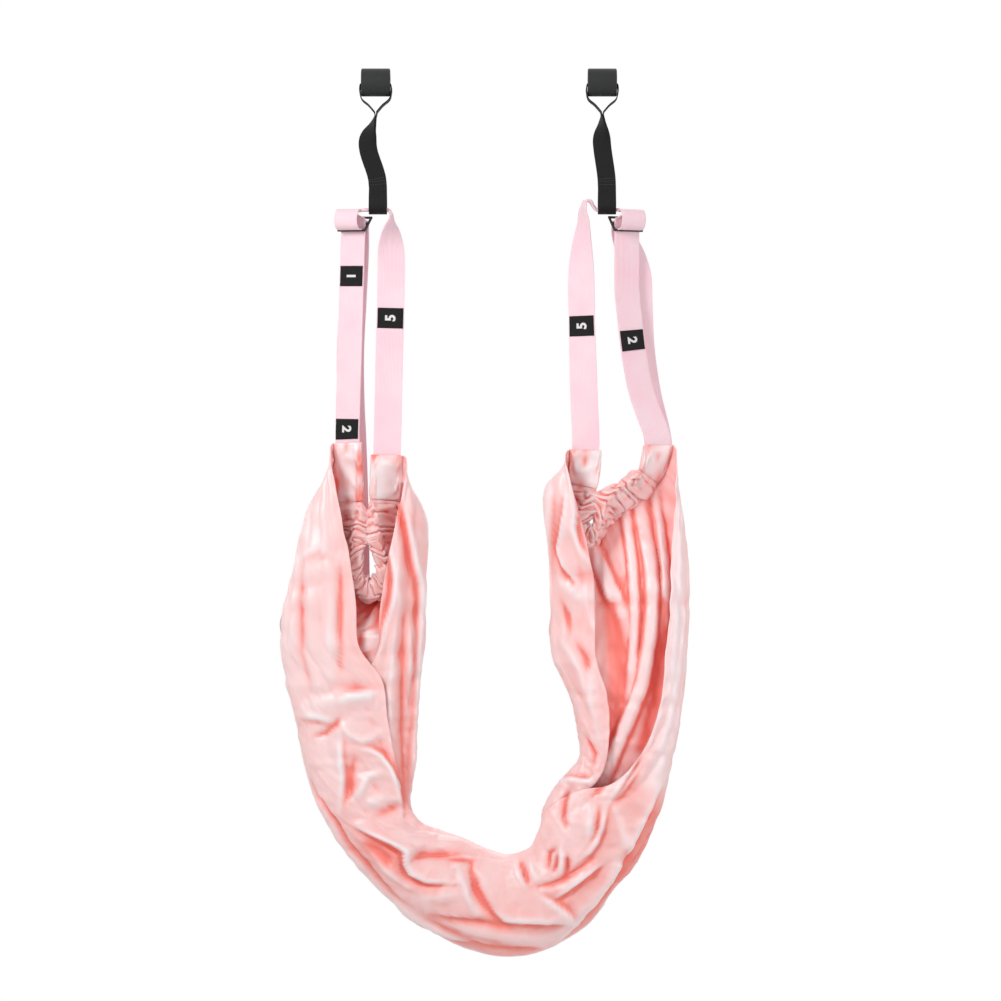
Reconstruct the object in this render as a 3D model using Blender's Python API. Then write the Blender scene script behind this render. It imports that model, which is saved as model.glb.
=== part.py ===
"""Aerial yoga rope: a gathered satin sling on two adjustable webbing loops, hung from two
foam door rollers. The object is modelled as it hangs. Everything is in metres, with +Z up and
+X to the viewer's right. The origin is midway between the rollers, on their common axis."""

import bisect
import math

import bmesh
import bpy
from mathutils import Vector

# Hanging layout: roller to roller, roller axis to the foot of the eye, eye to the sling's mouth
ANCHOR_SPACING = 0.313
HANGER_DROP = 0.1824
RUN_LENGTH = 0.3155

# Foam roller and the stiff tube in its bore
ROLLER_LENGTH = 0.040
ROLLER_DIAMETER = 0.0386
ROLLER_EDGE = 0.003
CORE_WALL = 0.0016
CORE_CLEARANCE = 0.0012

# Black anchor webbing: one band, down both ends of the roller, twisted into a two-ply stem
WEB_WIDTH = 0.025
WEB_THICKNESS = 0.0016
WEB_PLY_GAP = 0.0003
WEB_END_GAP = 0.0004
WEB_BEND = 0.0016
NECK_DROP = 0.042
TWIST_END = 0.094
STEM_FOOT = 0.148
EYE_RADIUS = 0.0106
LEFT_BOW = -0.0115
LEFT_FOOT = 0.003
RIGHT_BOW = -0.001
RIGHT_FOOT = 0.0065

# Pink strap, bunched where it passes through the eye
STRAP_WIDTH = 0.038
STRAP_THICKNESS = 0.0018
BUNCH_WIDTH = 0.012
BUNCH_THICKNESS = 0.005
LEFT_TURN = 28.0
RIGHT_TURN = 155.0

# Number patches sewn on the strap
PATCH_WIDTH = 0.0355
PATCH_HEIGHT = 0.028
PATCH_THICKNESS = 0.0005
PATCH_PITCH = 0.2115
LEFT_PATCH_RISE = 0.2304
RIGHT_PATCH_RISE = 0.1614
TAIL_PATCH_AT = 0.062

# Tri-glide slider and the soft fold of strap in front of it
SLOT_CLEARANCE = 0.0006
SLIDER_BAR = 0.003
SLIDER_PITCH = 0.0125
SLIDER_LEAN = 42.0
SLIDER_BELOW_EYE = 0.0176
SLIDER_ROOM = 0.010
FOLD_DEPTH = 0.0095
FOLD_RISE = 0.0134
FOLD_WIDTH = 0.036

# Corner sleeves and the gathered casing between them
SLEEVE_WALL = 0.0012
TUNNEL_SIDE_GAP = 0.0022
TUNNEL_FACE_GAP = 0.0022
RUFFLE_WIDTH = 0.0020
RUFFLE_DEPTH = 0.0034
RUFFLE_PITCH = 0.0165

# Sling cloth: the ribs are told in shares of the drop from its mouth to its lowest fold
SLING_DROP = 0.709
CLOTH_THICKNESS = 0.0024
CLOTH_GATHER = 0.0058
CLOTH_PLEATS = 5
CLOTH_LAP = 0.004
SPREAD = 1.3
LEG_DEPTH = 0.033
BELLY_DEPTH = 0.046
LEG_FORWARD = 0.009

SEAT_GAP = 0.0003

# Places that follow from the sizes above
LEFT_X = -ANCHOR_SPACING / 2
RIGHT_X = ANCHOR_SPACING / 2
MOUTH_Z = -HANGER_DROP - RUN_LENGTH
EYE_CENTRE_Z = -HANGER_DROP + WEB_THICKNESS + EYE_RADIUS
SLIDER_DROP = HANGER_DROP + SLIDER_BELOW_EYE
RUN_TOP = SLIDER_DROP - SLIDER_ROOM
LEFT_PATCH_Z = MOUTH_Z + LEFT_PATCH_RISE
RIGHT_PATCH_Z = MOUTH_Z + RIGHT_PATCH_RISE
CORE_BORE_R = WEB_WIDTH / 2 + CORE_CLEARANCE
CORE_OUTER_R = CORE_BORE_R + CORE_WALL
TUNNEL_HALF_WIDTH = STRAP_WIDTH / 2 + TUNNEL_SIDE_GAP
TUNNEL_HALF_DEPTH = STRAP_THICKNESS / 2 + PATCH_THICKNESS + SEAT_GAP + TUNNEL_FACE_GAP / 2
PATCH_SHIFT = STRAP_THICKNESS / 2 + SEAT_GAP + PATCH_THICKNESS / 2

# Names, colours, roughness of the finishes
FOAM = ("roller_foam", (0.030, 0.032, 0.031), 0.85)
CORE = ("core_plastic", (0.25, 0.25, 0.26), 0.45)
BLACK_WEB = ("black_webbing", (0.016, 0.015, 0.016), 0.75)
PINK_WEB = ("pink_webbing", (0.97, 0.72, 0.78), 0.70)
PATCH = ("patch_black", (0.014, 0.013, 0.014), 0.70)
SLIDER = ("slider_plastic", (0.018, 0.012, 0.014), 0.35)
SATIN = ("pink_satin", (0.95, 0.60, 0.57), 0.35)


def material(name, colour, roughness):
    made = bpy.data.materials.get(name)
    if made:
        return made
    made = bpy.data.materials.new(name)
    made.use_nodes = True
    shader = made.node_tree.nodes["Principled BSDF"]
    shader.inputs["Base Color"].default_value = (*colour, 1.0)
    shader.inputs["Roughness"].default_value = roughness
    shader.inputs["Metallic"].default_value = 0.0
    return made


def add_object(name, bm, look, smooth_angle=40.0):
    """One closed mesh object, its faces turned outward."""
    bmesh.ops.recalc_face_normals(bm, faces=bm.faces)
    if bm.calc_volume(signed=True) < 0:
        bmesh.ops.reverse_faces(bm, faces=bm.faces)
    mesh = bpy.data.meshes.new(name)
    bm.to_mesh(mesh)
    bm.free()
    mesh.shade_smooth()
    mesh.set_sharp_from_angle(angle=math.radians(smooth_angle))
    mesh.materials.append(material(*look))
    made = bpy.data.objects.new(name, mesh)
    bpy.context.scene.collection.objects.link(made)
    return made


def pivot(name, place, children):
    """An empty on a joint's axis that carries the pieces of one moving body."""
    empty = bpy.data.objects.new(name, None)
    empty.location = place
    empty.empty_display_size = 0.02
    bpy.context.scene.collection.objects.link(empty)
    for child in children:
        child.parent = empty
        child.location = child.location - Vector(place)
    return empty


def smooth(low, high, x):
    """0 below low, 1 above high, eased between."""
    t = min(1.0, max(0.0, (x - low) / (high - low)))
    return t * t * (3 - 2 * t)


def curve_slope(before, here, after, gap_before, gap_after):
    """Slope per metre at a station, from its neighbours and their distances."""
    first = (here - before) / gap_before
    second = (after - here) / gap_after
    return (first * gap_after + second * gap_before) / (gap_before + gap_after)


def curve_point(start, end, start_slope, end_slope, gap, t):
    """Smooth value between two stations, for a number or a vector."""
    s = 1 - t
    return (start * (s * s * (1 + 2 * t)) + end * (t * t * (1 + 2 * s))
            + start_slope * (gap * t * s * s) - end_slope * (gap * s * t * t))


def station(x, y, z, turn, width=STRAP_WIDTH, thickness=STRAP_THICKNESS, dip=0.0):
    """A place on a strap. turn is the yaw of its width, 0 along +X and 90 to the viewer, and
    dip lifts that end of the width."""
    return (Vector((x, y, z)), turn, dip, width, thickness)


class Route:
    """A smooth strap route through stations, read by its distance along."""

    STEPS = 16

    def __init__(self, stations, closed):
        self.closed = closed
        count = len(stations)
        spans = count if closed else count - 1
        gaps = [(self.pick(stations, n + 1, closed)[0] - stations[n][0]).length
                for n in range(spans)]
        slopes = []
        for n in range(count):
            if closed or 0 < n < count - 1:
                beside = (gaps[n - 1], gaps[n])
                around = [self.pick(stations, n + offset, closed) for offset in (-1, 0, 1)]
                slopes.append([curve_slope(*(s[k] for s in around), *beside) for k in range(5)])
            else:
                low = min(n, count - 2)
                ends = stations[low], stations[low + 1]
                slopes.append([(ends[1][k] - ends[0][k]) / gaps[low] for k in range(5)])
        self.samples = []
        starts = []
        for n in range(spans):
            starts.append(len(self.samples))
            first, last = stations[n], self.pick(stations, n + 1, closed)
            out, into = slopes[n], slopes[(n + 1) % count]
            for step in range(self.STEPS):
                t = step / self.STEPS
                self.samples.append([curve_point(first[k], last[k], out[k], into[k], gaps[n], t)
                                     for k in range(5)])
        if not closed:
            starts.append(len(self.samples))
        self.samples.append(list(stations[0] if closed else stations[-1]))
        self.distance = [0.0]
        for before, after in zip(self.samples, self.samples[1:]):
            self.distance.append(self.distance[-1] + (after[0] - before[0]).length)
        self.length = self.distance[-1]
        self.station_at = [self.distance[start] for start in starts]

    @staticmethod
    def pick(stations, index, closed):
        if closed:
            return stations[index % len(stations)]
        return stations[min(len(stations) - 1, max(0, index))]

    def sample(self, distance):
        if self.closed:
            distance %= self.length
        distance = min(self.length, max(0.0, distance))
        index = bisect.bisect_right(self.distance, distance) - 1
        index = min(len(self.samples) - 2, max(0, index))
        span = self.distance[index + 1] - self.distance[index]
        t = (distance - self.distance[index]) / span if span else 0.0
        before, after = self.samples[index], self.samples[index + 1]
        return [before[k] + (after[k] - before[k]) * t for k in range(5)]

    def frame(self, distance):
        """Place, direction along, direction across, face direction, width and thickness."""
        place, turn, dip, width, thickness = self.sample(distance)
        low, high = distance - 0.001, distance + 0.001
        if not self.closed:
            low, high = max(0.0, low), min(self.length, high)
        along = (self.sample(high)[0] - self.sample(low)[0]).normalized()
        turn, dip = math.radians(turn), math.radians(dip)
        level = math.cos(dip)
        across = Vector((math.cos(turn) * level, -math.sin(turn) * level, math.sin(dip)))
        across = (across - along * across.dot(along)).normalized()
        return place, along, across, along.cross(across), width, thickness

    def stops(self, marks, bend, longest):
        """Distances through all the marks, closer together where the route bends or twists."""
        found = [marks[0]]
        for start, end in zip(marks, marks[1:]):
            last = self.frame(start)
            count = max(1, int((end - start) / 0.001))
            for index in range(1, count):
                distance = start + (end - start) * index / count
                now = self.frame(distance)
                turned = math.degrees(now[1].angle(last[1]) + now[2].angle(last[2]))
                room = min(end - distance, distance - found[-1]) > 0.0022
                if room and (turned > bend or distance - found[-1] > longest):
                    found.append(distance)
                    last = now
            found.append(end)
        return found

    def even_stops(self, parts):
        """Distances at every station, and at even parts between them."""
        found = []
        ends = self.station_at + ([self.length] if self.closed else [])
        for start, end in zip(ends, ends[1:]):
            found += [start + (end - start) * n / parts for n in range(parts)]
        return found + [ends[-1]]


def join_rings(bm, rings, closed, rising=None):
    """Faces between rings of equal count, and flat ends unless the rings close on themselves.
    Opposite sides, and parts that rise rather than fall, are split the other way, so that
    layers side by side stay parallel where they twist."""
    count = len(rings[0])
    pairs = list(zip(rings, rings[1:]))
    if closed:
        pairs.append((rings[-1], rings[0]))
    for n, (before, after) in enumerate(pairs):
        for i in range(count):
            j = (i + 1) % count
            if (i < count / 2) == bool(rising and rising[n]):
                bm.faces.new((before[i], before[j], after[i]))
                bm.faces.new((before[j], after[j], after[i]))
            else:
                bm.faces.new((before[i], before[j], after[j]))
                bm.faces.new((before[i], after[j], after[i]))
    if not closed:
        for ring in (rings[0], list(reversed(rings[-1]))):
            for i in range(count // 2 - 1):
                bm.faces.new((ring[i], ring[i + 1], ring[-i - 2], ring[-i - 1]))


def band_ring(bm, frame, width=None, thickness=None, shift=0.0, upturned=False):
    """The six corners of a flat band across a route, shift off it along its face direction.
    An upturned one belongs to a band that travels the other way."""
    place, _, across, face, full_width, full_thickness = frame
    if upturned:
        face = -face
    half_width = (full_width if width is None else width) / 2
    half_depth = (full_thickness if thickness is None else thickness) / 2
    centre = place + face * shift
    corners = ((-1, -1), (0, -1), (1, -1), (1, 1), (0, 1), (-1, 1))
    ring = [centre + across * a * half_width + face * b * half_depth for a, b in corners]
    return [bm.verts.new(point) for point in ring]


def strip(name, route, look, stops, closed=False, width=None, thickness=None, shift=0.0):
    """A flat band along a route."""
    bm = bmesh.new()
    frames = [route.frame(distance) for distance in (stops[:-1] if closed else stops)]
    rings = [band_ring(bm, frame, width, thickness, shift) for frame in frames]
    join_rings(bm, rings, closed, [frame[1].z > 0 for frame in frames])
    return add_object(name, bm, look)


def flat_ring(bm, route, distance, half_width, half_depth, sides=12):
    """A flattened round section across a route."""
    place, _, across, face, _, _ = route.frame(distance)
    ring = []
    for index in range(sides):
        angle = 2 * math.pi * index / sides
        a, b = math.cos(angle), math.sin(angle)
        a = math.copysign(math.sqrt(abs(a)), a) if abs(a) > 1e-9 else 0.0
        b = math.copysign(math.sqrt(abs(b)), b) if abs(b) > 1e-9 else 0.0
        ring.append(bm.verts.new(place + across * a * half_width + face * b * half_depth))
    return ring


def tunnel(name, route, look, stops, ruffled):
    """A cloth tunnel round the strap, open at both ends, plain or gathered into ruffles."""
    bm = bmesh.new()
    start, end = stops[0], stops[-1]
    half_width = TUNNEL_HALF_WIDTH + SLEEVE_WALL
    half_depth = TUNNEL_HALF_DEPTH + SLEEVE_WALL
    inner = [flat_ring(bm, route, at, TUNNEL_HALF_WIDTH, TUNNEL_HALF_DEPTH) for at in stops]
    inner.reverse()
    if ruffled:
        ruffles = max(3, round((end - start) / RUFFLE_PITCH))
        count = ruffles * 3
        outer = []
        for index in range(count + 1):
            swell = 0.5 - 0.5 * math.cos(2 * math.pi * ruffles * index / count)
            lean = 1 if index % 2 else 0.55
            outer.append(flat_ring(bm, route, start + (end - start) * index / count,
                                   half_width + swell * RUFFLE_WIDTH,
                                   half_depth + swell * lean * RUFFLE_DEPTH))
    else:
        outer = [flat_ring(bm, route, at, half_width, half_depth) for at in stops]
    join_rings(bm, outer + inner, True)
    return add_object(name, bm, look, 60.0)


def turned_tube(name, centre, inner_r, outer_r, length, edge, look, segments=32):
    """A tube along X. Its outer ends are rounded by edge."""
    half = length / 2
    edge = min(edge, (outer_r - inner_r) * 0.85)
    right = [(half, outer_r)]
    if edge:
        right = []
        for step in range(5):
            angle = math.pi / 2 * step / 4
            right.append((half - edge + edge * math.sin(angle),
                          outer_r - edge + edge * math.cos(angle)))
    right.append((half, inner_r))
    profile = [(-x, r) for x, r in reversed(right)] + right
    bm = bmesh.new()
    rings = []
    for index in range(segments):
        angle = 2 * math.pi * index / segments
        up, back = math.cos(angle), math.sin(angle)
        rings.append([bm.verts.new(Vector(centre) + Vector((x, back * r, up * r)))
                      for x, r in profile])
    join_rings(bm, rings, True)
    return add_object(name, bm, look)


def anchor_webbing(name, anchor_x, bow, foot):
    """The black band: through the bore, down one end, one ply of the stem, round the eye, up
    the other ply and the other end. The stem turns through a right angle below its neck."""
    side = ROLLER_LENGTH / 2 + WEB_END_GAP + WEB_THICKNESS / 2
    ply = (WEB_THICKNESS + WEB_PLY_GAP) / 2
    bore_z = -(CORE_BORE_R - WEB_WIDTH / 2) - WEB_THICKNESS
    bend = WEB_BEND
    right = [
        (side - bend * 1.2, bore_z),
        (side - bend * 0.3, bore_z - bend * 0.3),
        (side, bore_z - bend * 1.2),
        (side, -ROLLER_DIAMETER / 2 + 0.003),
        (side * 0.93, -ROLLER_DIAMETER / 2 - 0.003),
        (side * 0.45, -NECK_DROP + 0.010),
        (ply + 0.0008, -NECK_DROP + 0.001),
    ]
    over = Route([station(anchor_x - x, 0, z, 90, WEB_WIDTH, WEB_THICKNESS)
                  for x, z in reversed(right)]
                 + [station(anchor_x + x, 0, z, 90, WEB_WIDTH, WEB_THICKNESS)
                    for x, z in right], False)

    middle = []
    top, low = -NECK_DROP - 0.004, -STEM_FOOT + 0.003
    for step in range(9):
        share = step / 8
        z = top + share * (low - top)
        turn = 90 - 90 * smooth(-NECK_DROP, -TWIST_END, z)
        lean = bow * math.sin(math.pi * share ** 0.75) ** 2 + foot * smooth(0.25, 1.0, share)
        middle.append(station(anchor_x + lean, 0, z, turn, WEB_WIDTH, WEB_THICKNESS))
    stem = Route(middle, False)

    eye_x = anchor_x + foot
    radius = EYE_RADIUS + WEB_THICKNESS / 2
    ring = [station(eye_x, ply, -STEM_FOOT, 0, WEB_WIDTH, WEB_THICKNESS)]
    for step in range(13):
        turn = math.radians(-30 + 20 * step)
        ring.append(station(eye_x, radius * math.cos(turn), EYE_CENTRE_Z - radius * math.sin(turn),
                            0, WEB_WIDTH, WEB_THICKNESS))
    ring.append(station(eye_x, -ply, -STEM_FOOT, 0, WEB_WIDTH, WEB_THICKNESS))
    eye = Route(ring, False)

    plies = stem.even_stops(2)
    bm = bmesh.new()
    rings = []
    rising = []
    for route, stops, shift, upturned in (
            (over, over.even_stops(2), 0, False), (stem, plies, -ply, False),
            (eye, eye.even_stops(2), 0, False), (stem, list(reversed(plies)), -ply, True)):
        for distance in stops:
            frame = route.frame(distance)
            rings.append(band_ring(bm, frame, shift=shift, upturned=upturned))
            rising.append(upturned or frame[1].z > 0)
    join_rings(bm, rings, True, rising)
    return add_object(name, bm, BLACK_WEB)


def strap_eye(anchor_x, foot):
    """The bunched stations that lie in the eye, from right to left."""
    half = WEB_WIDTH / 2 + 0.0005
    rest = math.sqrt((EYE_RADIUS - SEAT_GAP) ** 2 - (BUNCH_WIDTH / 2) ** 2)
    z = EYE_CENTRE_Z - rest + BUNCH_THICKNESS / 2
    x = anchor_x + foot
    return [station(x + half * share, 0, z, 90, BUNCH_WIDTH, BUNCH_THICKNESS)
            for share in (1.06, 1, -1, -1.06)], x, z


def left_loop():
    """Left strap: down the numbered run, through the casing, up the other run, over the eye."""
    x0 = LEFT_X
    eye, eye_x, eye_z = strap_eye(x0, LEFT_FOOT)
    m = MOUTH_Z
    run_top, run_foot = -RUN_TOP, m + 0.014
    lean = -0.0293
    run_x = x0 - 0.031
    half = WEB_WIDTH / 2

    def run(z):
        return station(run_x + lean * (-z - SLIDER_DROP), 0, z, LEFT_TURN)

    down = [
        station(eye_x - half - 0.0075, 0.0003, eye_z - 0.0002, 84, 0.0130, 0.0046),
        station(eye_x - half - 0.0140, 0.0009, eye_z - 0.0011, 74, 0.0145, 0.0043),
        station(eye_x - half - 0.0187, 0.0012, eye_z - 0.0035, 62, 0.0170, 0.0037),
        station(run_x + 0.0001, 0.0004, eye_z - 0.0105, 35, 0.0295, 0.0023),
        run(run_top),
        run(run_top - 0.001),
        run((run_top + run_foot) / 2),
        run(run_foot + 0.008),
        run(run_foot),
    ]
    tunnel_part = [
        station(x0 - 0.039, 0, m, LEFT_TURN),
        station(x0 - 0.038, 0, m - 0.045, LEFT_TURN),
        station(x0 - 0.037, 0, m - 0.086, 32),
        station(x0 - 0.036, 0, m - 0.134, 66),
        station(x0 - 0.031, 0, m - 0.176, 86),
        station(x0 - 0.021, 0, m - 0.203, 90),
        station(x0 - 0.006, 0, m - 0.212, 90),
        station(x0 + 0.007, 0, m - 0.202, 90),
        station(x0 + 0.012, 0, m - 0.176, 94),
        station(x0 + 0.0125, 0, m - 0.134, 116),
        station(x0 + 0.0125, 0, m - 0.092, 150),
        station(x0 + 0.014, 0, m - 0.052, 172),
        station(x0 + 0.0155, 0, m - 0.017, 178),
    ]
    up = [
        station(x0 + 0.0165, 0, m + 0.018, 180),
        station(x0 + 0.0185, 0, m + 0.110, 180),
        station(x0 + 0.0210, 0, m + 0.210, 180),
        station(x0 + 0.0215, 0, m + 0.250, 174),
        station(x0 + 0.0212, 0, m + 0.280, 148, 0.036, 0.0019),
        station(x0 + 0.0215, 0, m + 0.301, 122, 0.028, 0.0024),
        station(eye_x + half + 0.0065, 0, eye_z - 0.0110, 104, 0.018, 0.0036),
        station(eye_x + half + 0.0052, 0, eye_z - 0.0040, 96, 0.0135, 0.0046),
    ]
    route = Route(down + tunnel_part + up + eye, True)
    marks = route.station_at
    return route, {"mouth_in": marks[9], "mouth_out": marks[21], "run_top": marks[4],
                   "sleeve_in": 0.082, "sleeve_out": 0.062}


def right_loop():
    """Right strap: down the inner run, through the casing, up the numbered outer run."""
    x0 = RIGHT_X
    eye, eye_x, eye_z = strap_eye(x0, RIGHT_FOOT)
    m = MOUTH_Z
    half = WEB_WIDTH / 2
    run_x = x0 + 0.034
    down = [
        station(eye_x - half - 0.0060, 0, eye_z + 0.0045, 88, 0.013, 0.0047),
        station(eye_x - half - 0.0110, 0, eye_z + 0.0125, 84, 0.015, 0.0042),
        station(eye_x - half - 0.0160, 0, eye_z + 0.0130, 78, 0.018, 0.0036),
        station(eye_x - half - 0.0205, 0, eye_z + 0.0040, 70, 0.022, 0.0030),
        station(x0 - 0.0262, 0, eye_z - 0.018, 58, 0.029, 0.0024),
        station(x0 - 0.028, 0, m + 0.276, 44, 0.035, 0.0019),
        station(x0 - 0.029, 0, m + 0.238, 26),
        station(x0 - 0.028, 0, m + 0.161, 20),
        station(x0 - 0.025, 0, m + 0.060, 2),
    ]
    tunnel_part = [
        station(x0 - 0.023, 0, m - 0.010, 0),
        station(x0 - 0.025, 0, m - 0.040, 6),
        station(x0 - 0.031, 0, m - 0.072, 34),
        station(x0 - 0.037, 0, m - 0.102, 74),
        station(x0 - 0.037, 0, m - 0.124, 88),
        station(x0 - 0.026, 0, m - 0.1385, 90, dip=8),
        station(x0 - 0.010, 0, m - 0.130, 90, dip=24),
        station(x0 + 0.001, 0, m - 0.106, 90, dip=44),
        station(x0 + 0.017, 0, m - 0.083, 92, dip=54),
        station(x0 + 0.042, 0, m - 0.066, 102, dip=52),
        station(x0 + 0.063, 0, m - 0.047, 124, dip=36),
        station(x0 + 0.074, 0, m - 0.023, 146, dip=16),
        station(x0 + 0.0775, 0, m - 0.003, 158),
    ]
    up = [
        station(x0 + 0.0745, 0, m + 0.014, 160),
        station(x0 + 0.066, 0, m + 0.036, 158),
        station(x0 + 0.054, 0, m + 0.070, 156),
        station(x0 + 0.0445, 0, m + 0.117, RIGHT_TURN),
        station(x0 + 0.0375, 0, m + 0.176, RIGHT_TURN),
        station(run_x + 0.0006, 0, m + 0.204, RIGHT_TURN),
        station(run_x, 0, m + 0.215, RIGHT_TURN),
        station(run_x, 0, m + 0.2155, RIGHT_TURN),
        station(run_x, 0, -RUN_TOP - 0.001, RIGHT_TURN),
        station(run_x, 0, -RUN_TOP, RIGHT_TURN),
        station(run_x, 0.0004, eye_z - 0.0105, 145, 0.0295, 0.0023),
        station(run_x - 0.0023, 0.0012, eye_z - 0.0037, 116, 0.0170, 0.0037),
        station(run_x - 0.0060, 0.0009, eye_z - 0.0013, 105, 0.0145, 0.0043),
        station(eye_x + half + 0.0045, 0.0003, eye_z - 0.0002, 96, 0.0130, 0.0046),
    ]
    route = Route(down + tunnel_part + up + eye, True)
    marks = route.station_at
    return route, {"mouth_in": marks[9], "mouth_out": marks[21], "run_top": marks[31],
                   "sleeve_in": 0.050, "sleeve_out": 0.046}


class RunFrame:
    """Axes at a slider: side across the strap, rise up it, and back away from the viewer."""

    def __init__(self, route, distance):
        place, along, across, face, _, _ = route.frame(distance)
        self.place = place
        self.rise = along if along.z > 0 else -along
        self.back = -face
        self.side = self.rise.cross(self.back)
        if self.side.x < 0:
            self.side = -self.side

    def at(self, side, rise, back):
        return self.place + self.side * side + self.rise * rise + self.back * back


def slider(name, run):
    """A tri-glide: a flat frame with three bars and two slots, leaning so that the strap passes
    behind its lower bar and in front of the other two."""
    half = STRAP_WIDTH / 2 + SLOT_CLEARANCE
    bar = SLIDER_BAR / 2
    columns = [-half - 2 * bar, -half, half, half + 2 * bar]
    low = -SLIDER_PITCH / 2
    rows = []
    for index in range(3):
        rows += [low + index * SLIDER_PITCH - bar, low + index * SLIDER_PITCH + bar]
    bm = bmesh.new()
    grid = [[bm.verts.new((u, v, -bar)) for u in columns] for v in rows]
    cells = []
    for j in range(5):
        for i in range(3):
            if i == 1 and j % 2 == 1:
                continue
            corners = (grid[j][i], grid[j][i + 1], grid[j + 1][i + 1], grid[j + 1][i])
            cells.append(bm.faces.new(corners))
    made = bmesh.ops.extrude_face_region(bm, geom=cells)
    lifted = [v for v in made["geom"] if isinstance(v, bmesh.types.BMVert)]
    bmesh.ops.translate(bm, verts=lifted, vec=(0, 0, 2 * bar))
    bmesh.ops.recalc_face_normals(bm, faces=bm.faces)
    sharp = [e for e in bm.edges if len(e.link_faces) == 2 and e.calc_face_angle(0) > 1.0]
    bmesh.ops.bevel(bm, geom=sharp, offset=bar * 0.42, segments=1, profile=0.5,
                    affect="EDGES", clamp_overlap=True)
    lean = math.radians(SLIDER_LEAN)
    for vert in bm.verts:
        u, v, w = vert.co
        rise = v * math.cos(lean) - w * math.sin(lean)
        back = v * math.sin(lean) + w * math.cos(lean)
        vert.co = run.at(u, rise, back)
    return add_object(name, bm, SLIDER)


def strap_fold(name, run):
    """The soft open roll of strap that stands in front of the slider. Its lower end comes off
    the slider's lower bar."""
    lean = math.radians(SLIDER_LEAN)
    half = STRAP_THICKNESS / 2
    bar_corner = SLIDER_BAR / math.sqrt(2)
    bar_rise = -SLIDER_PITCH / 2 * math.cos(lean)
    bar_front = -SLIDER_PITCH / 2 * math.sin(lean) - bar_corner
    patch_front = STRAP_THICKNESS / 2 + SEAT_GAP + PATCH_THICKNESS
    centre_back = -(patch_front + SEAT_GAP + half + FOLD_DEPTH)
    lowest = bar_rise + bar_corner / 2
    centre_rise = lowest + FOLD_RISE
    line = [(bar_front - SEAT_GAP - 0.0001, lowest, 0.0, -1.0)]
    for step in range(13):
        angle = math.radians(-90 + 217 * step / 12)
        back, rise = -math.cos(angle), math.sin(angle)
        out = Vector((back / FOLD_DEPTH, rise / FOLD_RISE)).normalized()
        line.append((centre_back + FOLD_DEPTH * back, centre_rise + FOLD_RISE * rise, out.x, out.y))
    bm = bmesh.new()
    rings = []
    for back, rise, out_back, out_rise in line:
        ring = []
        for side, depth in ((-1, -1), (1, -1), (1, 1), (-1, 1)):
            ring.append(bm.verts.new(run.at(side * FOLD_WIDTH / 2, rise + out_rise * depth * half,
                                            back + out_back * depth * half)))
        rings.append(ring)
    join_rings(bm, rings, False)
    return add_object(name, bm, PINK_WEB)


def tail_stations(run, turn, through):
    """The tail's start: off the back of the strap, over the middle bar, through the upper
    slot and down behind the slider."""
    return [station(*run.at(0, rise, back), turn) for rise, back in through]


def cloth_rib(share, outer_dx, outer_drop, inner_dx, inner_drop, depth, forward, slit, gap):
    """One rib of the sling, from its outer to its inner side. slit is the way that the trough
    opens, 0 to the viewer and 90 to the inside of the U, and gap is half its opening angle."""
    base = Vector((LEFT_X + ANCHOR_SPACING * share, 0, MOUTH_Z))
    return {
        "outer": base + Vector((outer_dx, 0, -outer_drop)) * SLING_DROP,
        "inner": base + Vector((inner_dx, 0, -inner_drop)) * SLING_DROP,
        "depth": depth, "forward": forward, "slit": math.radians(slit), "gap": math.radians(gap),
    }


def cloth_ribs():
    leg, belly, ahead = LEG_DEPTH, BELLY_DEPTH, LEG_FORWARD
    return [
        cloth_rib(0.00, -0.178, 0.385, 0.099, 0.385, leg, ahead, 20, 16),
        cloth_rib(0.00, -0.169, 0.458, 0.090, 0.458, leg, ahead, 20, -3),
        cloth_rib(0.00, -0.151, 0.546, 0.083, 0.546, leg, ahead, 24, -8),
        cloth_rib(0.00, -0.133, 0.635, 0.082, 0.621, leg, ahead, 34, -9),
        cloth_rib(0.00, -0.100, 0.728, 0.073, 0.698, leg * 1.09, ahead * 0.9, 50, -9),
        cloth_rib(0.10, -0.083, 0.815, 0.044, 0.739, leg * 1.21, ahead * 0.55, 64, -9),
        cloth_rib(0.20, -0.051, 0.890, 0.031, 0.759, leg * 1.3, ahead * 0.2, 76, -9),
        cloth_rib(0.33, -0.041, 0.944, 0.023, 0.777, belly, 0.0, 84, -9),
        cloth_rib(0.45, -0.018, 0.986, 0.017, 0.798, belly, 0.0, 88, -9),
        cloth_rib(0.60, -0.008, 1.000, -0.007, 0.810, belly, 0.0, 88, -9),
        cloth_rib(0.72, 0.013, 0.986, -0.017, 0.795, belly, 0.0, 80, -9),
        cloth_rib(0.82, 0.039, 0.942, -0.048, 0.766, belly, 0.0, 66, -8),
        cloth_rib(0.90, 0.056, 0.870, -0.069, 0.697, leg * 1.3, ahead * 0.35, 48, -6),
        cloth_rib(1.00, 0.071, 0.805, -0.078, 0.645, leg * 1.18, ahead * 0.65, 34, -3),
        cloth_rib(1.00, 0.105, 0.725, -0.051, 0.615, leg * 1.09, ahead * 0.9, 24, 2),
        cloth_rib(1.00, 0.134, 0.606, -0.051, 0.570, leg, ahead, 14, 9),
        cloth_rib(1.00, 0.151, 0.501, -0.068, 0.494, leg, ahead, 6, 16),
        cloth_rib(1.00, 0.158, 0.412, -0.103, 0.412, leg, ahead, 0, 19),
        cloth_rib(1.00, 0.161, 0.317, -0.106, 0.317, leg, ahead, -4, 20),
    ]


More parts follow.
